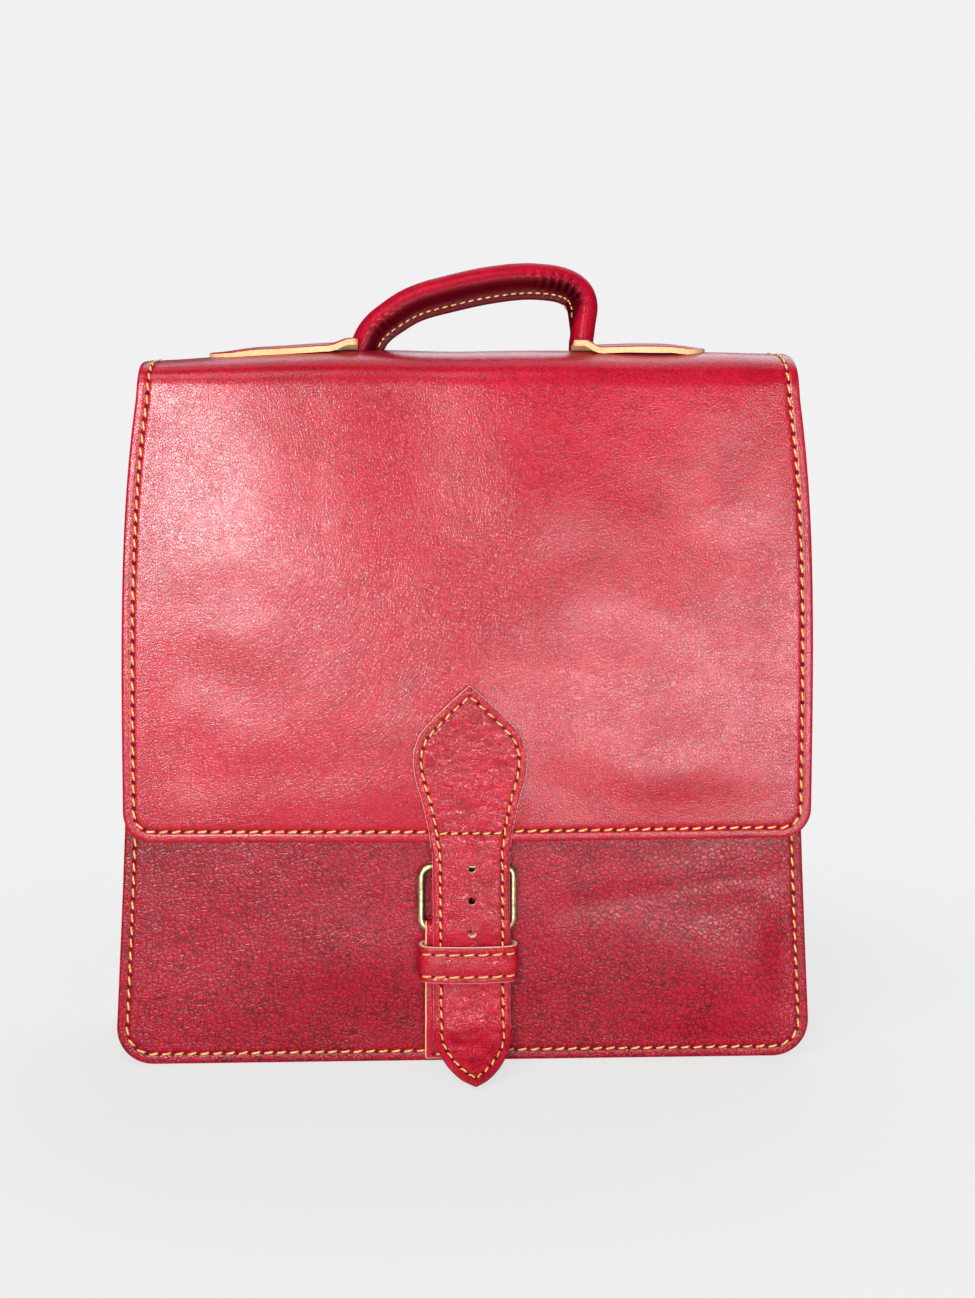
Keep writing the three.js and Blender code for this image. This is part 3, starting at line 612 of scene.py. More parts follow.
def u_outline(bottom, top, radius, width_at):
    """The right half of a panel with round bottom corners, from the middle of its bottom edge upwards."""
    turn = np.radians(np.linspace(0, 90, 14))
    z = bottom + radius * (1 - np.cos(turn))
    corner = np.stack([width_at(z) - radius * (1 - np.sin(turn)), z], axis=-1)
    z = np.linspace(bottom + radius, top, 24)[1:]
    return np.vstack([[0, bottom], corner, np.stack([width_at(z), z], axis=-1)])


def both_sides(right):
    """A whole outline from its right half, counter-clockwise."""
    left = right[:0:-1] * [-1, 1]
    return np.vstack([right, left])


def seam_line(right, distance, top):
    """A stitch line inside a panel's edge, from its left top round its bottom to its right top."""
    line = inset_line(right, distance)
    line = line[line[:, 1] < top]
    return np.vstack([line[::-1] * [-1, 1], line])


def inset_line(line, distance):
    tangent = np.gradient(line, axis=0)
    normal = np.stack([-tangent[:, 1], tangent[:, 0]], axis=-1)
    return line + distance * normal / np.linalg.norm(normal, axis=1)[:, None]


# Front panel: it swells most low on the right, over a slack crease.
def front_relief(uv):
    u, v = uv.T
    bulge = 3.6 * bell(u, 98, 26) * bell(v, 40, 26)
    crease = -0.8 * bell(v, 66 + 0.12 * (u - 80), 6) * smoothstep(u, 20, 60)
    left = 1.0 * bell(u, -45, 30) * bell(v, 40, 16)
    return (bulge + crease + left) * smoothstep(130 - np.abs(u), 0, 14) * smoothstep(v, 5, 16)


front_half = u_outline(PANEL_BOTTOM, FRONT_TOP, PANEL_CORNER, half_width)
front_seam = seam_line(front_half, STITCH_INSET, FRONT_TOP - 2)
front = Sheet(
    "front_panel_leather",
    both_sides(front_half),
    lambda uv: np.stack([uv[:, 0], front_y(uv[:, 0], uv[:, 1]), uv[:, 1]], axis=-1),
    BODY_LEATHER,
    [RED_SOFT_SHADED, SUEDE, RED_EDGE],
    grooves=[front_seam],
    relief=front_relief,
)
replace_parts(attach(front.obj, "bag"), "front_panel")
seam = stitches("front_seam_stitches", front, [front_seam])
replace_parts(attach(seam, "bag"), "front_seam_thread")

back_half = u_outline(PANEL_BOTTOM, FOLD - 0.4, PANEL_CORNER, half_width)
back_seam = seam_line(back_half, STITCH_INSET, FOLD - 18)
back = Sheet(
    "back_panel_leather",
    both_sides(back_half),
    lambda uv: np.stack([-uv[:, 0], back_y(uv[:, 0], uv[:, 1]), uv[:, 1]], axis=-1),
    BODY_LEATHER,
    [RED, SUEDE, RED_EDGE],
    grooves=[back_seam],
)
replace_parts(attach(back.obj, "bag"), "back_panel")
seam = stitches("back_seam_stitches", back, [back_seam])
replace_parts(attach(seam, "bag"), "back_seam_thread")

# ---- Gusset ----
FLANGE_SHORT = 0.6
BASE_FLAT = 0.72  # the share of the base that rests on the ground
BASE_SAG = SEAM + PANEL_BOTTOM - GUSSET_LEATHER / 2
FLANGE_BEND = 1.6
gusset_path = resample(np.vstack([front_half[:0:-1] * [-1, 1], front_half]), 2.0)
gusset_length = lengths(gusset_path)[-1]
gusset_out = right_of(unit(np.gradient(gusset_path, axis=0)))
GUSSET_HALF = BASE_HALF_DEPTH - BODY_LEATHER - GAP - GUSSET_LEATHER / 2
GUSSET_REACH = GUSSET_HALF + SEAM - FLANGE_SHORT


def place_gusset(uv):
    """u runs round the bag from the left mouth, and v across the strip from the back flange to the front."""
    at = along(gusset_path, uv[:, 0])
    out = along(gusset_out, uv[:, 0], lengths(gusset_path))
    z = at[:, 1]
    y_most = half_depth(z) - BODY_LEATHER - GAP - GUSSET_LEATHER / 2
    web_share = y_most / GUSSET_HALF
    v = uv[:, 1] / GUSSET_REACH * (GUSSET_REACH - GUSSET_HALF + y_most)
    past = np.abs(v) - y_most
    rise = 0.5 * (past + np.sqrt(past**2 + FLANGE_BEND**2))
    y = np.sign(v) * (np.abs(v) - rise)
    far = np.clip(np.abs(y) / y_most, 0, 1)
    under = np.clip(-out[:, 1], 0, 1) ** 2
    sag = BASE_SAG * (1 - smoothstep(far, BASE_FLAT, 1))
    fold = (3 + 6 * np.clip(z / FRONT_TOP, 0, 1) ** 1.5) * np.cos(far * math.pi / 2) ** 2
    crumple = 0.5 * np.sin(z / 9 + 2 * far) * (1 - far) * smoothstep(z, 20, 60) * web_share
    lift = -SEAM + rise + (sag * under - (fold + crumple) * (1 - under))
    lift = lift + GUSSET_LEATHER / 2
    return np.stack([at[:, 0] + out[:, 0] * lift, -y, at[:, 1] + out[:, 1] * lift], axis=-1)


gusset_outline = rectangle(0, gusset_length, -GUSSET_REACH, GUSSET_REACH)
gusset = Sheet("gusset_leather", gusset_outline, place_gusset, GUSSET_LEATHER, [RED_SOFT_SHADED, SUEDE, RED_EDGE],
               rings=(0.5, 1.2, 2.2, 3.2, 4.2, 5.4, 6.6), wave=0.3)
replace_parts(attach(gusset.obj, "bag"), "gusset")

# ---- Inner pocket ----
POCKET_BOTTOM = 95
POCKET_TOP = 195
POCKET_HALF = 75
POCKET_LEATHER = 1.2
POCKET_GAP = 0.15
pocket_right = u_outline(POCKET_BOTTOM, POCKET_TOP, 10, lambda z: POCKET_HALF + 0 * z)
pocket_seam = seam_line(pocket_right, 3, POCKET_TOP - 1)


def place_pocket(uv):
    x, z = uv.T
    return np.stack([x, back_y(x, z) - BODY_LEATHER - POCKET_GAP - POCKET_LEATHER, z], axis=-1)


pocket = Sheet(
    "inner_pocket_leather",
    both_sides(pocket_right),
    place_pocket,
    POCKET_LEATHER,
    [SUEDE, SUEDE, EDGE],
    spacing=6,
    grooves=[pocket_seam],
)
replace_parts(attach(pocket.obj, "bag"), "inner_pocket")
seam = stitches("pocket_stitches", pocket, [pocket_seam])
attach(seam, "bag")

# ---- Flap ----
# v is the height on the hanging part, and runs on over the top and down behind the back panel.
FLAP_BACK_REACH = 14.0  # how far the flap overlaps the back panel
FLAP_OVERLAP = 1.75  # how far outside the back panel the overlap lies
LEFT_DROOP = 4.4
RIGHT_DROOP = 0.6
flap_face_y = -TOP_HALF_DEPTH - FLAP_STANDOFF - LINING - GAP - FLAP_LEATHER
bridge_middle = (TOP_HALF_DEPTH + flap_face_y) / 2
bridge_half = (TOP_HALF_DEPTH - flap_face_y) / 2


def arch_line(inside):
    """The section of the flap over the mouth, from the front fold to the back one, moved in by inside."""
    turn = np.linspace(math.pi, 0, 161)
    c, s = np.cos(turn), np.sin(turn)
    y = bridge_middle + np.sign(c) * (bridge_half - inside) * np.abs(c) ** (2 / ARCH)
    z = FOLD + (BRIDGE_RISE + 0.8 - inside) * np.clip(s, 0, 1) ** (2 / ARCH)
    return np.stack([y, z], axis=-1)


outer_arch = arch_line(0)
arch_length = lengths(outer_arch)[-1]
V_CROWN = FOLD + arch_length / 2
V_BACK_FOLD = FOLD + arch_length
V_END = V_BACK_FOLD + FLAP_BACK_REACH


def place_flap(uv, inside=0.0):
    x, v = uv[:, 0] + FLAP_X, uv[:, 1]
    line = arch_line(inside)
    share = np.clip((v - FOLD) / arch_length, 0, 1)
    over = along(line, share * lengths(line)[-1])
    down = np.clip(v - V_BACK_FOLD, 0, None)
    hang = v < FOLD
    hanging_y = front_y(x, np.minimum(v, FOLD)) + flap_face_y + TOP_HALF_DEPTH + inside
    y = np.where(hang, hanging_y, over[:, 0])
    z = np.where(hang, v, over[:, 1] - down)
    y = y + FLAP_OVERLAP * smoothstep(v, V_BACK_FOLD - 5, V_BACK_FOLD + 6)
    y = y + np.where(down > 0, back_y(x, z) - TOP_HALF_DEPTH, 0)
    top = np.sin(math.pi * share)
    droop = LEFT_DROOP * smoothstep(-x, 50, 126) + RIGHT_DROOP * smoothstep(x, 90, 126)
    return np.stack([x, y, z - droop * top], axis=-1)


def flap_width(v):
    hanging = np.clip((v - FLAP_BOTTOM) / (FOLD - FLAP_BOTTOM), 0, 1) ** 3.7
    drawn_in = 1.6 * smoothstep(v, FOLD, V_CROWN)
    return FLAP_HALF_WIDTH + (FLAP_TOP_HALF_WIDTH - FLAP_HALF_WIDTH) * hanging - drawn_in


flap_half = u_outline(FLAP_BOTTOM, V_END, FLAP_CORNER, flap_width)
flap_cut = np.vstack([flap_half[::-1] * [-1, 1], flap_half])
flap_edge = [flap_cut, np.array([[flap_width(V_END), V_END], [-flap_width(V_END), V_END]])]
flap_seam = seam_line(flap_half, 4.2, V_BACK_FOLD - 2)


def part_of(outline, low, high):
    """The part of a flap outline between two heights, as a loop."""
    right = outline[outline[:, 0] >= 0]
    ends = [[np.interp(v, right[:, 1], right[:, 0]), v] for v in (low, high)]
    right = right[(right[:, 1] > low) & (right[:, 1] < high)]
    if low <= FLAP_BOTTOM:
        right = np.vstack([outline[:1], outline[1:2], right, ends[1:]])
        left = right[:0:-1] * [-1, 1]
    else:
        right = np.vstack([ends[:1], right, ends[1:]])
        left = right[::-1] * [-1, 1]
    return np.vstack([right, left])


# The strap head holds the flap's leather down, and the light dents of use lie beside it.
def flap_relief(uv):
    u, v = uv.T
    dents = noise_at(uv * [1, 0.7], 55, 9.0) * 1.1 + noise_at(uv * [0.6, 1], 21, 4.0) * 0.35
    slack = 0.8 * bell(u, 75, 35) * bell(v, 118, 16) - 0.6 * bell(u, 60, 45) * bell(v, 150, 12)
    # The sewn edges lie flat.
    inside = smoothstep(flap_width(v) - np.abs(u), 2, 30) * smoothstep(v, FLAP_BOTTOM, FLAP_BOTTOM + 25)
    return (dents + slack) * inside * smoothstep(V_END - v, 12, 40)


def bend_front(obj):
    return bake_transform(obj)


def bend_back(obj):
    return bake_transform(obj)


flap_skins = [RED, SUEDE, RED_EDGE]
for low, high, bend, node_name, label in (
    (FLAP_BOTTOM, V_CROWN, bend_front, "flap_panel", "front"),
    (V_CROWN, V_END, bend_back, "flap_bridge", "back"),
):
    outline = part_of(flap_half, low, high)
    piece = Sheet(f"flap_leather_{label}", outline, place_flap, FLAP_LEATHER, flap_skins, cuts=flap_edge,
                  grooves=[flap_seam], relief=flap_relief, wave=0)
    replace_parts(bend(piece.obj), node_name)
    if label == "front":
        flap_front = piece
    else:
        flap_back = piece
    lining = Sheet(f"flap_lining_{label}", outline,
                   lambda uv: place_flap(uv, FLAP_LEATHER + PLY_GAP), LINING, [SUEDE, SUEDE, EDGE],
                   spacing=5, rings=(0.5, 2), relief=flap_relief, wave=0)
    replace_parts(bend(lining.obj), "flap_lining" if label == "front" else "bridge_lining")

STRAP_CLEAR = 16.5  # the flap's stitches stop this far from the strap's middle
left_seam = flap_seam[(flap_seam[:, 0] < -STRAP_CLEAR) & (flap_seam[:, 1] < V_CROWN)]
right_seam = flap_seam[(flap_seam[:, 0] > STRAP_CLEAR) & (flap_seam[:, 1] < V_CROWN)]
seam_bottom = left_seam[:, 1].min()
left_seam = np.vstack([left_seam, [[-STRAP_CLEAR, seam_bottom]]])
right_seam = np.vstack([[[STRAP_CLEAR, seam_bottom]], right_seam])
for label, line in (("left", left_seam), ("right", right_seam)):
    row = stitches(f"flap_stitches_{label}", flap_front, [line])
    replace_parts(bend_front(row), f"flap_thread_{label}")
over_left = flap_seam[(flap_seam[:, 0] < 0) & (flap_seam[:, 1] > V_CROWN)]
over_right = flap_seam[(flap_seam[:, 0] > 0) & (flap_seam[:, 1] > V_CROWN)]
joining = [np.array([[-118, v], [118, v]]) for v in (V_END - 3, V_END - 9)]
row = stitches("flap_stitches_back", flap_back, [over_left, over_right, *joining])
bend_back(row)

# ---- Handle tabs: thick leather tongues on the crown, whose inner ends curl up round the handle's feet ----
TAB_LEATHER = 2.6
TAB_HALF = 11.0
TAB_CURL = 2.7


def tab_outline(outer, inner):
    """A tongue with a round outer end; u is across the bag and v is from front to back."""
    side = 1 if outer > 0 else -1
    first = -90 if side > 0 else 90
    end = arc((outer - side * TAB_HALF, 0), TAB_HALF, first, first + 180, 20)
    corner, half, short = inner + side * 1.5, side * TAB_HALF, side * (TAB_HALF - 2)
    return np.vstack([[corner, -half], end, [corner, half], [inner, short], [inner, -short]])


def place_tab(uv, curl_from, curl_to):
    base = place_flap(np.stack([uv[:, 0] - FLAP_X, uv[:, 1] + V_CROWN], axis=-1), -(GAP + TAB_LEATHER))
    u, w = uv[:, 0], np.abs(uv[:, 1])
    inward = smoothstep((u - curl_from) / (curl_to - curl_from), 0, 1)
    base[:, 2] += TAB_CURL * inward * smoothstep(w, 4.0, TAB_HALF) + 0.35 * np.sin(u / 9.0) * (1 - inward)
    # The outer end is pared thin.
    base[:, 2] -= 1.3 * smoothstep(np.abs(u), 78, 97)
    return base


# Each tab's outer end, its inner end, and where its curl starts and is complete.
TABS = (("left", -99.0, -41.5, (-53.0, -44.5)), ("right", 94.6, 42.0, (53.0, 46.0)))
for label, outer, inner, curl in TABS:
    outline = tab_outline(outer, inner)
    tab = Sheet(f"handle_tab_leather_{label}", outline, lambda uv, c=curl: place_tab(uv, *c), TAB_LEATHER,
                [RED, SUEDE, EDGE], spacing=2.2, step=1.2, wave=0.15)
    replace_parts(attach(tab.obj, "flap_top"), f"handle_tab_{label}")

# ---- Handle: leather rolled round a rope and stitched into a flange under it ----
HANDLE_FOOT = 279.6
ROLL_RADIUS = 4.7
HANDLE_LEATHER = 1.5
FLANGE_MOST = 5.3
HANDLE_Y = -0.15
HANDLE_TWIST = 62.0  # degrees that the roll turns to the front at its right foot
HANDLE_POINTS = (
    (-40.9, 276.4), (-39.4, HANDLE_FOOT), (-36.4, 285.2), (-30.6, 290.6), (-19.6, 297.4), (-4.1, 302),
    (10, 305), (24.6, 306.4), (37.6, 305), (44.8, 301.2), (47.6, 295.2), (46.8, 287), (46, HANDLE_FOOT),
    (45.8, 276.4),
)
handle_path = resample(catmull(HANDLE_POINTS), 0.8)
handle_at = lengths(handle_path)
handle_length = handle_at[-1]
handle_tangent = unit(np.gradient(handle_path, axis=0))
flange_half = HANDLE_LEATHER + PLY_GAP
roll_meet = math.asin(flange_half / ROLL_RADIUS)
ROLL_ARC = ROLL_RADIUS * (math.pi - roll_meet)
HANDLE_HALF = ROLL_ARC + FLANGE_MOST


def flange_at(t):
    return (3.9 + 1.4 * np.sin(math.pi * np.clip(t / 0.9, 0, 1))) * (1 - 0.5 * smoothstep(t, 0.78, 0.98))


def place_handle(uv):
    """u runs from the left foot to the right one, and v round the roll, from the front flange to the back."""
    u, v = np.clip(uv[:, 0], 0, handle_length), uv[:, 1]
    t = u / handle_length
    at = along(handle_path, u, handle_at)
    way = along(handle_tangent, u, handle_at)
    turn = np.clip(v, -ROLL_ARC, ROLL_ARC) / ROLL_RADIUS
    past = np.clip(np.abs(v) - ROLL_ARC, 0, None) / FLANGE_MOST
    fillet = 0.5 * np.exp(-(((np.abs(v) - ROLL_ARC) / 0.9) ** 2))
    out = ROLL_RADIUS * np.cos(turn) - past * flange_at(t)
    side = ROLL_RADIUS * np.sin(turn) + np.sign(v) * fillet
    twist = np.radians(HANDLE_TWIST) * smoothstep(t, 0.79, 0.95)
    c, s = np.cos(twist), np.sin(twist)
    # Outwards leans to the front, and the back leans outwards.
    outward, y = out * c + side * s, side * c - out * s
    return np.stack([at[:, 0] - way[:, 1] * outward, y + HANDLE_Y, at[:, 1] + way[:, 0] * outward], axis=-1)


def handle_relief(uv):
    """Wrinkles where the leather is bent tightest, and faint ones elsewhere."""
    u, v = uv[:, 0] / handle_length, uv[:, 1]
    inner = smoothstep(np.abs(v), 3, 10) * (1 - 0.8 * smoothstep(np.abs(v), 13, 16))
    tight = 0.6 * bell(u, 0.74, 0.1) + 0.2 * bell(u, 0.12, 0.06)
    wander = noise_at(uv * [0.4, 1], 9, 7.0)
    folds = np.sin(uv[:, 0] * 1.75 + 2.2 * wander + 0.08 * v) - 0.3
    return tight * inner * folds + 0.1 * noise_at(uv, 7, 3.0)


def bend_handle(obj):
    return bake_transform(obj)


handle_outline = rectangle(0, handle_length, -HANDLE_HALF, HANDLE_HALF)
row_at = np.linspace(0.035, 0.9, 68)
row_v = HANDLE_HALF - 2.6 * FLANGE_MOST / flange_at(row_at)
handle_rows = [np.stack([row_at * handle_length, side * row_v], axis=-1) for side in (-1, 1)]
cover = Sheet("handle_leather", handle_outline, place_handle, HANDLE_LEATHER, [RED_HANDLE, SUEDE, RED_EDGE],
              spacing=0.8, step=0.9, rings=(0.3, 0.9, 1.6), relief=handle_relief, wave=0, shaded_hollows=1.1,
              cuts=[np.array([[0, s * HANDLE_HALF], [handle_length, s * HANDLE_HALF]]) for s in (-1, 1)])
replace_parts(bend_handle(cover.obj), "handle_cover")
row = stitches("handle_stitches", cover, handle_rows, pitch=3.6, slant=4.0, radius=0.3, hole=0.6)
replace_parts(bend_handle(row), "handle_thread")


def ring_points(line, across, up, radius, sides):
    """Rings of points round a line; radius is a number, or one for each ring."""
    turn = np.linspace(0, 2 * math.pi, sides, endpoint=False)
    round_it = np.cos(turn)[:, None] * across[:, None] + np.sin(turn)[:, None] * up[:, None]
    return (line[:, None] + np.reshape(radius, (-1, 1, 1)) * round_it).reshape(-1, 3)


def tube(name, points, radius, sides, material, taper=1.0):
    """A round bar along a line of points, with flat ends."""
    way = unit(np.gradient(points, axis=0))
    axis = [1.0, 0, 0] if abs(way[:, 0]).max() < 0.9 else [0, 1.0, 0]
    across = unit(np.cross(way, np.cross(axis, way)))
    rings = ring_points(points, across, np.cross(way, across), radius * taper, sides)
    last = (len(points) - 1) * sides
    caps = [tuple(range(sides))[::-1], tuple(range(last, last + sides))]
    return make_object(name, rings, band_faces(len(points), sides) + caps, [material])


ROPE_RADIUS = 2.9
core_line = resample(handle_path[2:-2], 2.0)
core_line = np.stack([core_line[:, 0], np.full(len(core_line), HANDLE_Y), core_line[:, 1]], axis=-1)
core = tube("handle_rope", core_line, ROPE_RADIUS, 14, ROPE)
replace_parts(bend_handle(core), "handle_core")

# ---- Closing strap: sewn to the flap, then hanging over the buckle and through the keeper ----
STRAP_HEAD_TOP = 150.5
STRAP_JOIN = 88.1
STRAP_HALF = 15.1
STRAP_INSET = 3.1
BACKING_INSET = 0.7
BACKING_SHORT = 5.0
DYED_TIP = 16.0  # the strap's cut edge is dyed below this height
HEAD_ROWS = ((88.0, 15.6), (96, 16.7), (106, 18.8), (112, 20.6), (118.5, 21.8), (124, 21.8), (129, 20.4),
             (133, 18.2), (142, 9.6), (150.6, 0.0))
TAIL_ROWS = ((84, 5.8), (80, 6.4), (68, 6.7), (58, 7.5), (54.5, 7.3), (50.5, 6.4), (46, 5.9), (38, 5.8),
             (31, 6.1), (22, 6.6), (18, 7.4), (15, 9.2), (11.5, 13.2), (7, 19.5), (3.4, 25.4), (1.4, 31.0),
         (0.6, 36.0))
STRAP_ALL = STRAP_LEATHER + STRAP_BACKING
head_z = np.linspace(STRAP_HEAD_TOP + 1, 91, 30)
head_y = front_y(0 * head_z, head_z) + flap_face_y + TOP_HALF_DEPTH - 0.3 - STRAP_ALL
tail = catmull([(-STRAP_ZONE_FRONT - forward, z) for z, forward in TAIL_ROWS])
tail = tail + right_of(unit(np.gradient(tail, axis=0))) * (STRAP_ALL + PLY_GAP)
head = np.stack([head_y, head_z], axis=-1)
strap_path = resample(catmull(np.vstack([head[::4], tail[:-6:10], tail[-1:]])), 0.8)
strap_out = right_of(unit(np.gradient(strap_path, axis=0)))
strap_at = lengths(strap_path)
# v is the height on the straight head, and goes on down along the tail.
STRAP_V_TOP = STRAP_HEAD_TOP + 1
STRAP_V_END = STRAP_V_TOP - strap_at[-1]


def v_at_height(z):
    """How far along the strap a height is."""
    return STRAP_V_TOP - np.interp(-z, -strap_path[:, 1], strap_at)


def place_strap(uv, inside=0.0):
    s = STRAP_V_TOP - uv[:, 1]
    at = along(strap_path, s, strap_at) - inside * along(strap_out, s, strap_at)
    domed = 0.035 * np.clip(np.abs(uv[:, 0]) - 9, 0, None) ** 2 * smoothstep(100 - uv[:, 1], 0, 20)
    x = uv[:, 0] + 0.8 + 0.01 * np.clip(STRAP_HEAD_TOP - at[:, 1], 0, None)
    return np.stack([x, at[:, 0] + domed, at[:, 1]], axis=-1)


TIP_SHARE = 0.75


def tail_half(v):
    t = (STRAP_JOIN - v) / (STRAP_JOIN - STRAP_V_END)
    return STRAP_HALF * (1 - np.clip((t - TIP_SHARE) / (1 - TIP_SHARE), 0, 1) ** 1.7)


head_side = catmull([(half, z) for z, half in HEAD_ROWS[:-1]], 8)
tail_v = np.linspace(STRAP_V_END + 0.01, STRAP_JOIN - 1.5, 70)
strap_right = np.vstack([
    [[0, STRAP_V_END]],
    np.stack([tail_half(tail_v), tail_v], axis=-1),
    head_side,
    [[HEAD_ROWS[-1][1], HEAD_ROWS[-1][0]]],
])
strap_outline = np.vstack([strap_right, strap_right[-2:0:-1] * [-1, 1]])
strap_inner = inset(resample(closed(strap_outline), 0.7)[:-1], STRAP_INSET)
strap_inner = strap_inner[distance_to(strap_inner, [closed(strap_outline)]) > STRAP_INSET * 0.96]
strap_rows = [closed(strap_inner)]
cross_v = FLAP_BOTTOM + 4.2
strap_cross = np.array([[-12.6, cross_v], [12.6, cross_v]])
hole_heights = [BAR_HEIGHT - 0.5 + i * HOLE_PITCH for i in range(3)]
strap_holes = [arc((0.2, v_at_height(z)), HOLE_RADIUS, 0, 345, 24) for z in hole_heights]


def strap_relief(uv):
    """The head's soft creases, and the tail's finer cross folds."""
    u, v = uv.T
    inner = smoothstep(distance_to(uv, [closed(strap_outline)]), 2.5, 6)
    slow = noise_at(uv * [0.6, 1], 5.5, 2.0)
    fine = noise_at(uv * [0.5, 1], 2.4, 5.0)
    return inner * (0.6 * slow + 0.42 * fine) - 0.35 * np.exp(-(((v - cross_v) / 1.1) ** 2))


def bend_strap(obj):
    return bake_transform(obj)


strap = Sheet("strap_leather", strap_outline, place_strap, STRAP_LEATHER, [RED_STRAP, SUEDE, PALE_EDGE],
              holes=strap_holes, bevel=0.12, spacing=1.1, step=0.8,
              rings=(0.25, 0.6, 1.2, 1.9, 2.5, 3.1, 3.7, 4.4, 5.2), grooves=strap_rows,
              relief=strap_relief, wave=0, shaded_hollows=0.4)
for face in strap.obj.data.polygons:
    if face.material_index == 2 and face.center.z < DYED_TIP * MM:
        face.material_index = 0
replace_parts(bend_strap(strap.obj), "closing_strap", "strap_tail")
backing_outline = resample(closed(strap_outline), 1.0)[:-1]
backing_outline = inset(backing_outline, BACKING_INSET)
backing_outline[:, 1] = np.maximum(backing_outline[:, 1], STRAP_V_END + BACKING_SHORT)
backing = Sheet("strap_backing", backing_outline, lambda uv: place_strap(uv, STRAP_LEATHER + PLY_GAP),
                STRAP_BACKING, [SUEDE, SUEDE, EDGE], holes=strap_holes, spacing=2.5, step=1.0,
                rings=(0.6, 1.6), wave=0)
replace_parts(bend_strap(backing.obj), "closing_strap_backing", "strap_tail_backing")
row = stitches("strap_stitches", strap, [*strap_rows, strap_cross], pitch=4.5, slant=9.0, radius=0.36)
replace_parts(bend_strap(row), "strap_thread")

# ---- Buckle strap: folded round the buckle's bar and sewn down at the panel's foot ----
BUCKLE_STRAP_LEATHER = 1.6
BUCKLE_STRAP_HALF = 14.9
BUCKLE_STRAP_X = -1.1
bar_y = -STRAP_ZONE_FRONT - BAR_FORWARD
EYE_RADIUS = WIRE + 0.3 + BUCKLE_STRAP_LEATHER
back_layer = [(-35.6, 2.4), (-35.9, 9), (-36.9, 20), (-36.9, 34), (-36.6, 46), (bar_y + EYE_RADIUS * 0.9, 52)]
front_layer = [(bar_y - EYE_RADIUS * 0.95, 52.2), (-40.7, 46), (-40.1, 36), (-40.1, 20), (-39.2, 9),
               (-38.9, 2.4)]
eye = arc((bar_y, BAR_HEIGHT), EYE_RADIUS, 0, 180, 5)
fold_path = resample(catmull([*back_layer, *eye, *front_layer]), 0.6)
fold_at = lengths(fold_path)


def place_buckle_strap(uv):
    """u runs from right to left; v runs up the back layer, over the bar and down the front layer."""
    at = along(fold_path, uv[:, 1], fold_at)
    return np.stack([BUCKLE_STRAP_X - uv[:, 0], at[:, 0], at[:, 1]], axis=-1)


top_at = fold_at[np.argmax(fold_path[:, 1])]
slot_u = BUCKLE_STRAP_X - BUCKLE_X
slot_ends = [arc((slot_u, top_at + 4), 2.4, 0, 180, 8), arc((slot_u, top_at - 4), 2.4, 180, 360, 8)]
slot_shape = np.vstack(slot_ends)
front_start = fold_at[-1] - 2.0
fold_rows = [np.array([[-11.5, v], [11.5, v]]) for v in (front_start, front_start - (48.5 - 4.4))]
buckle_outline = rectangle(-BUCKLE_STRAP_HALF, BUCKLE_STRAP_HALF, 0, fold_at[-1])
buckle_strap = Sheet("buckle_strap_leather", buckle_outline, place_buckle_strap, BUCKLE_STRAP_LEATHER,
                     [RED_STRAP, SUEDE, EDGE], holes=[slot_shape], spacing=1.8, step=1.0,
                     rings=(0.4, 0.8, 1.4, 2.2), wave=0.12, grooves=fold_rows, bevel=0.45)
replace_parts(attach(buckle_strap.obj, "bag"), "buckle_strap")
row = stitches("buckle_strap_stitches", buckle_strap, fold_rows, pitch=4.6)
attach(row, "bag")

# ---- Keeper ----
KEEPER_LEATHER = 1.5
KEEPER_X = 0.6
KEEPER_LOOP = ((0, -35.25), (-10, -35.3), (-15.5, -35.4), (-18.3, -36.3), (-19.25, -38.8), (-19.2, -42.3),
               (-18.1, -45.0), (-15.4, -46.5), (-10.5, -47.3), (-5, -47.8), (0, -48.0), (5, -47.9),
               (10.5, -47.4), (15.4, -46.5), (18.1, -45.0), (19.2, -42.3), (19.25, -38.8), (18.3, -36.3),
               (15.5, -35.4), (10, -35.3), (0, -35.25))
keeper_path = resample(catmull(KEEPER_LOOP), 0.5)
keeper_at = lengths(keeper_path)
keeper_tall = KEEPER_HIGH - KEEPER_LOW
keeper_middle = keeper_at[-1] / 2


def place_keeper(uv):
    at = along(keeper_path, uv[:, 0], keeper_at)
    near = np.clip((-38 - at[:, 1]) / 10, 0, 1)
    lean = 0.6 * (uv[:, 1] / keeper_tall) * near
    return np.stack([KEEPER_X + at[:, 0], at[:, 1] + lean, KEEPER_LOW + uv[:, 1]], axis=-1)


def keeper_relief(uv):
    v = uv[:, 1]
    pad = 0.4 * np.clip(1 - ((v - keeper_tall / 2) / 3.6) ** 2, 0, 1)
    return pad + 0.12 * noise_at(uv * [1, 0.6], 5, 6.0)


keeper_rows = [np.array([[keeper_middle - 19.5, v], [keeper_middle + 19.5, v]])
               for v in (2.5, keeper_tall - 2.9)]
keeper_outline = rectangle(PLY_GAP, keeper_at[-1] - PLY_GAP, 0, keeper_tall)
keeper = Sheet("keeper_leather", keeper_outline, place_keeper, KEEPER_LEATHER, [RED_STRAP, SUEDE, PALE_EDGE],
               spacing=1.1, step=0.8, rings=(0.3, 0.8, 1.4, 2.0, 2.6, 3.2, 4.0), grooves=keeper_rows,
               bevel=0.15, relief=keeper_relief, wave=0)
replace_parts(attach(keeper.obj, "keeper"), "keeper_loop")
row = stitches("keeper_stitches", keeper, keeper_rows, pitch=5.2, slant=6.0, radius=0.36, hole=0.6)
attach(row, "keeper")

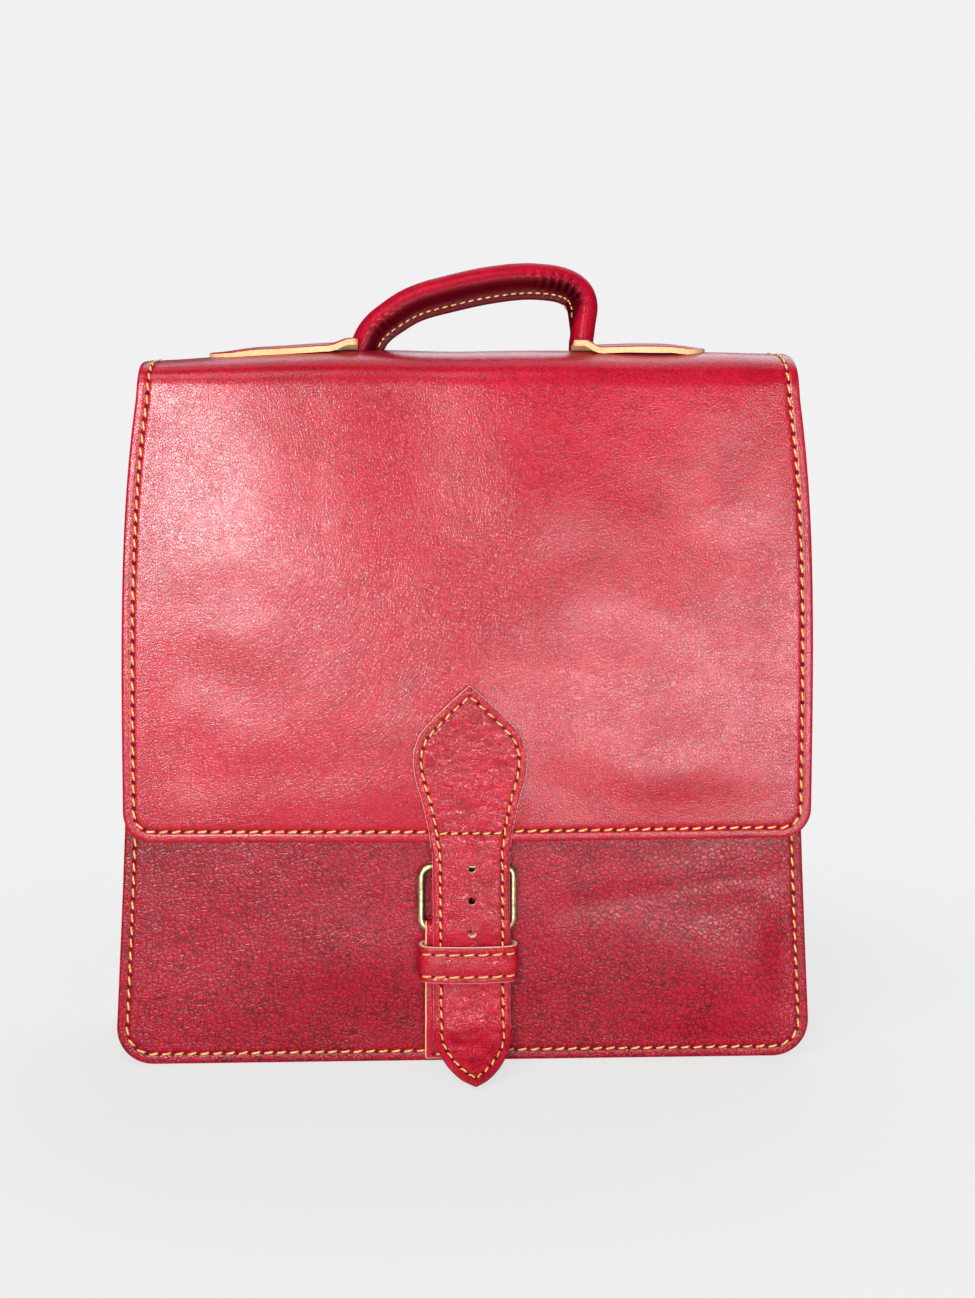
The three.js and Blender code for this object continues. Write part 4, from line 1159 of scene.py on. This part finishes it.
# ---- Buckle: a bent brass wire frame and its prong ----
BAR_CORNER = 4.0
half_frame = FRAME_WIDTH / 2
corners = (
    (half_frame - BAR_CORNER, BAR_CORNER, -90),
    (half_frame - BAR_CORNER, FRAME_HEIGHT - BAR_CORNER, 0),
    (BAR_CORNER - half_frame, FRAME_HEIGHT - BAR_CORNER, 90),
    (BAR_CORNER - half_frame, BAR_CORNER, 180),
)
wire = np.vstack([arc((x, up), BAR_CORNER, start, start + 90, 10) for x, up, start in corners])
wire = resample(closed(wire), 0.9)[:-1]
rise = wire[:, 1] / FRAME_HEIGHT
wire_y = bar_y + (BAR_FORWARD - TOP_BAR_FORWARD) * rise
wire_line = np.stack([BUCKLE_X + wire[:, 0], wire_y, BAR_HEIGHT + wire[:, 1]], axis=-1)


def wire_loop(name, line, radius, sides, material):
    """A closed wire lying in about one plane, square to the depth of the bag."""
    way = unit(np.roll(line, -1, 0) - np.roll(line, 1, 0))
    out = unit(np.cross(way, [0, -1, 0]))
    rings = ring_points(line, out, np.cross(out, way), radius, sides)
    faces = [(a, d, c, b) for a, b, c, d in band_faces(len(line), sides, around=True)]
    return make_object(name, rings, faces, [material])


buckle = wire_loop("buckle_wire", wire_line, WIRE, 20, BRASS)
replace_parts(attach(buckle, "buckle"), "buckle_frame")
PRONG = 0.95
over_bar = TOP_BAR_FORWARD + WIRE + GAP + PRONG
HOOK_RADIUS = 2.85
hook = arc((bar_y, BAR_HEIGHT), HOOK_RADIUS, -120, 120, 5)
prong_line = catmull([
    (bar_y - HOOK_RADIUS, BAR_HEIGHT - 0.8),
    *hook,
    (bar_y - 2.5, BAR_HEIGHT + 3.4),
    (-STRAP_ZONE_FRONT - over_bar - 0.2, BAR_HEIGHT + 8),
    (-STRAP_ZONE_FRONT - over_bar, BAR_HEIGHT + FRAME_HEIGHT - 4),
    (-STRAP_ZONE_FRONT - over_bar, BAR_HEIGHT + FRAME_HEIGHT + 2.4),
], 8)
prong_points = np.stack([np.full(len(prong_line), BUCKLE_X), prong_line[:, 0], prong_line[:, 1]], axis=-1)
prong_taper = np.interp(np.linspace(0, 1, len(prong_points)), [0, 0.02, 0.5, 0.96, 1], [0.6, 1, 1, 0.8, 0.4])
prong = tube("prong_wire", prong_points, PRONG, 14, BRASS, taper=prong_taper)
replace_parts(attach(prong, "prong"), "buckle_prong")

# ---- Camera, light and floor ----
CAMERA_AT = (-0.0410, -0.8839, 0.2880)
CAMERA_PITCH = 8.294
CAMERA_YAW = 3.292
CAMERA_ROLL = 0.289
LENS = 62.1


def set_camera():
    data = bpy.data.cameras.new("camera")
    camera = bpy.data.objects.new("camera", data)
    bpy.context.scene.collection.objects.link(camera)
    bpy.context.scene.camera = camera
    data.lens = LENS
    data.sensor_width = 36
    data.clip_start, data.clip_end = 0.01, 60
    camera.location = CAMERA_AT
    # The roll comes first, in the camera's own frame, then the pitch and the yaw.
    turn = (
        Matrix.Rotation(math.radians(-CAMERA_YAW), 3, "Z")
        @ Matrix.Rotation(math.radians(90 - CAMERA_PITCH), 3, "X")
        @ Matrix.Rotation(math.radians(CAMERA_ROLL), 3, "Z")
    )
    camera.rotation_euler = turn.to_euler("XYZ")


def area_light(name, at, aim, size, power, colour=(1, 1, 1)):
    data = bpy.data.lights.new(name, "AREA")
    data.shape = "RECTANGLE"
    data.size, data.size_y = size
    data.energy = power
    data.color = colour
    light = bpy.data.objects.new(name, data)
    bpy.context.scene.collection.objects.link(light)
    light.location = at
    light.rotation_euler = (Vector(aim) - Vector(at)).to_track_quat("-Z", "Y").to_euler()


BACKDROP = (0.88, 0.88, 0.88, 1)
FLOOR_HALF = 30.0  # in metres
CONTACT_RADIUS = 0.15  # the floor shows the bag's shadow within this, in metres, and fades out beyond
BACKDROP_RADIUS = 0.42


def show_camera(tree, output, lit, seen, share=None):
    """Gives the camera's own rays one shader, in part if there is a share, and all other rays another."""
    factor = tree.add("ShaderNodeLightPath").outputs["Is Camera Ray"]
    if share is not None:
        factor = tree.maths("MULTIPLY", share, factor)
    blend = tree.add("ShaderNodeMixShader", {0: factor, 1: lit.outputs[0], 2: seen.outputs[0]})
    tree.feed(tree.nodes[output], {"Surface": blend.outputs[0]})


def set_stage():
    scene = bpy.context.scene
    scene.view_settings.view_transform = "Standard"
    world = bpy.data.worlds.new("world")
    scene.world = world
    world.use_nodes = True
    tree = Shading(world.node_tree)
    tree.feed(tree.nodes["Background"], {"Color": BACKDROP})
    fill = tree.add("ShaderNodeBackground", {"Color": (1, 1, 1, 1), "Strength": 0.08})
    show_camera(tree, "World Output", fill, tree.nodes["Background"])

    corners = np.array([[-1, -1, 0], [1, -1, 0], [1, 1, 0], [-1, 1, 0]])
    floor = make_object("floor", corners * FLOOR_HALF / MM, [(0, 1, 2, 3)], [], smooth=False)
    material, tree, shader = new_material("floor")
    tree.feed(shader, {"Base Color": (0.7, 0.7, 0.7, 1), "Roughness": 0.9, "Specular IOR Level": 0.1})
    glow = tree.add("ShaderNodeEmission", {"Color": BACKDROP})
    away = tree.add("ShaderNodeVectorMath", {0: tree.place()}, operation="LENGTH").outputs["Value"]
    far = tree.map_range(away, CONTACT_RADIUS, BACKDROP_RADIUS, 0.8, interpolation_type="SMOOTHSTEP")
    show_camera(tree, "Material Output", shader, glow, far)
    floor.data.materials.append(material)


set_camera()
set_stage()
area_light("sheen", (-0.36, -1.45, 0.27), (-0.09, 0, 0.22), (0.34, 0.15), 16)
area_light("sheen_right", (0.37, -1.35, 0.07), (0.09, 0, 0.11), (0.34, 0.15), 7)
area_light("key", (-0.4, -0.8, 1.05), (0, 0, 0.17), (0.8, 0.6), 9)
area_light("top", (0.1, 0.3, 1.2), (0, 0, 0.2), (0.9, 0.7), 3)
area_light("fill", (1.2, -0.9, 0.5), (0, 0, 0.14), (0.6, 0.6), 2)
area_light("back", (0.4, 1.1, 1.15), (0, 0, 0.14), (1.4, 1.1), 15, (0.86, 0.9, 1))
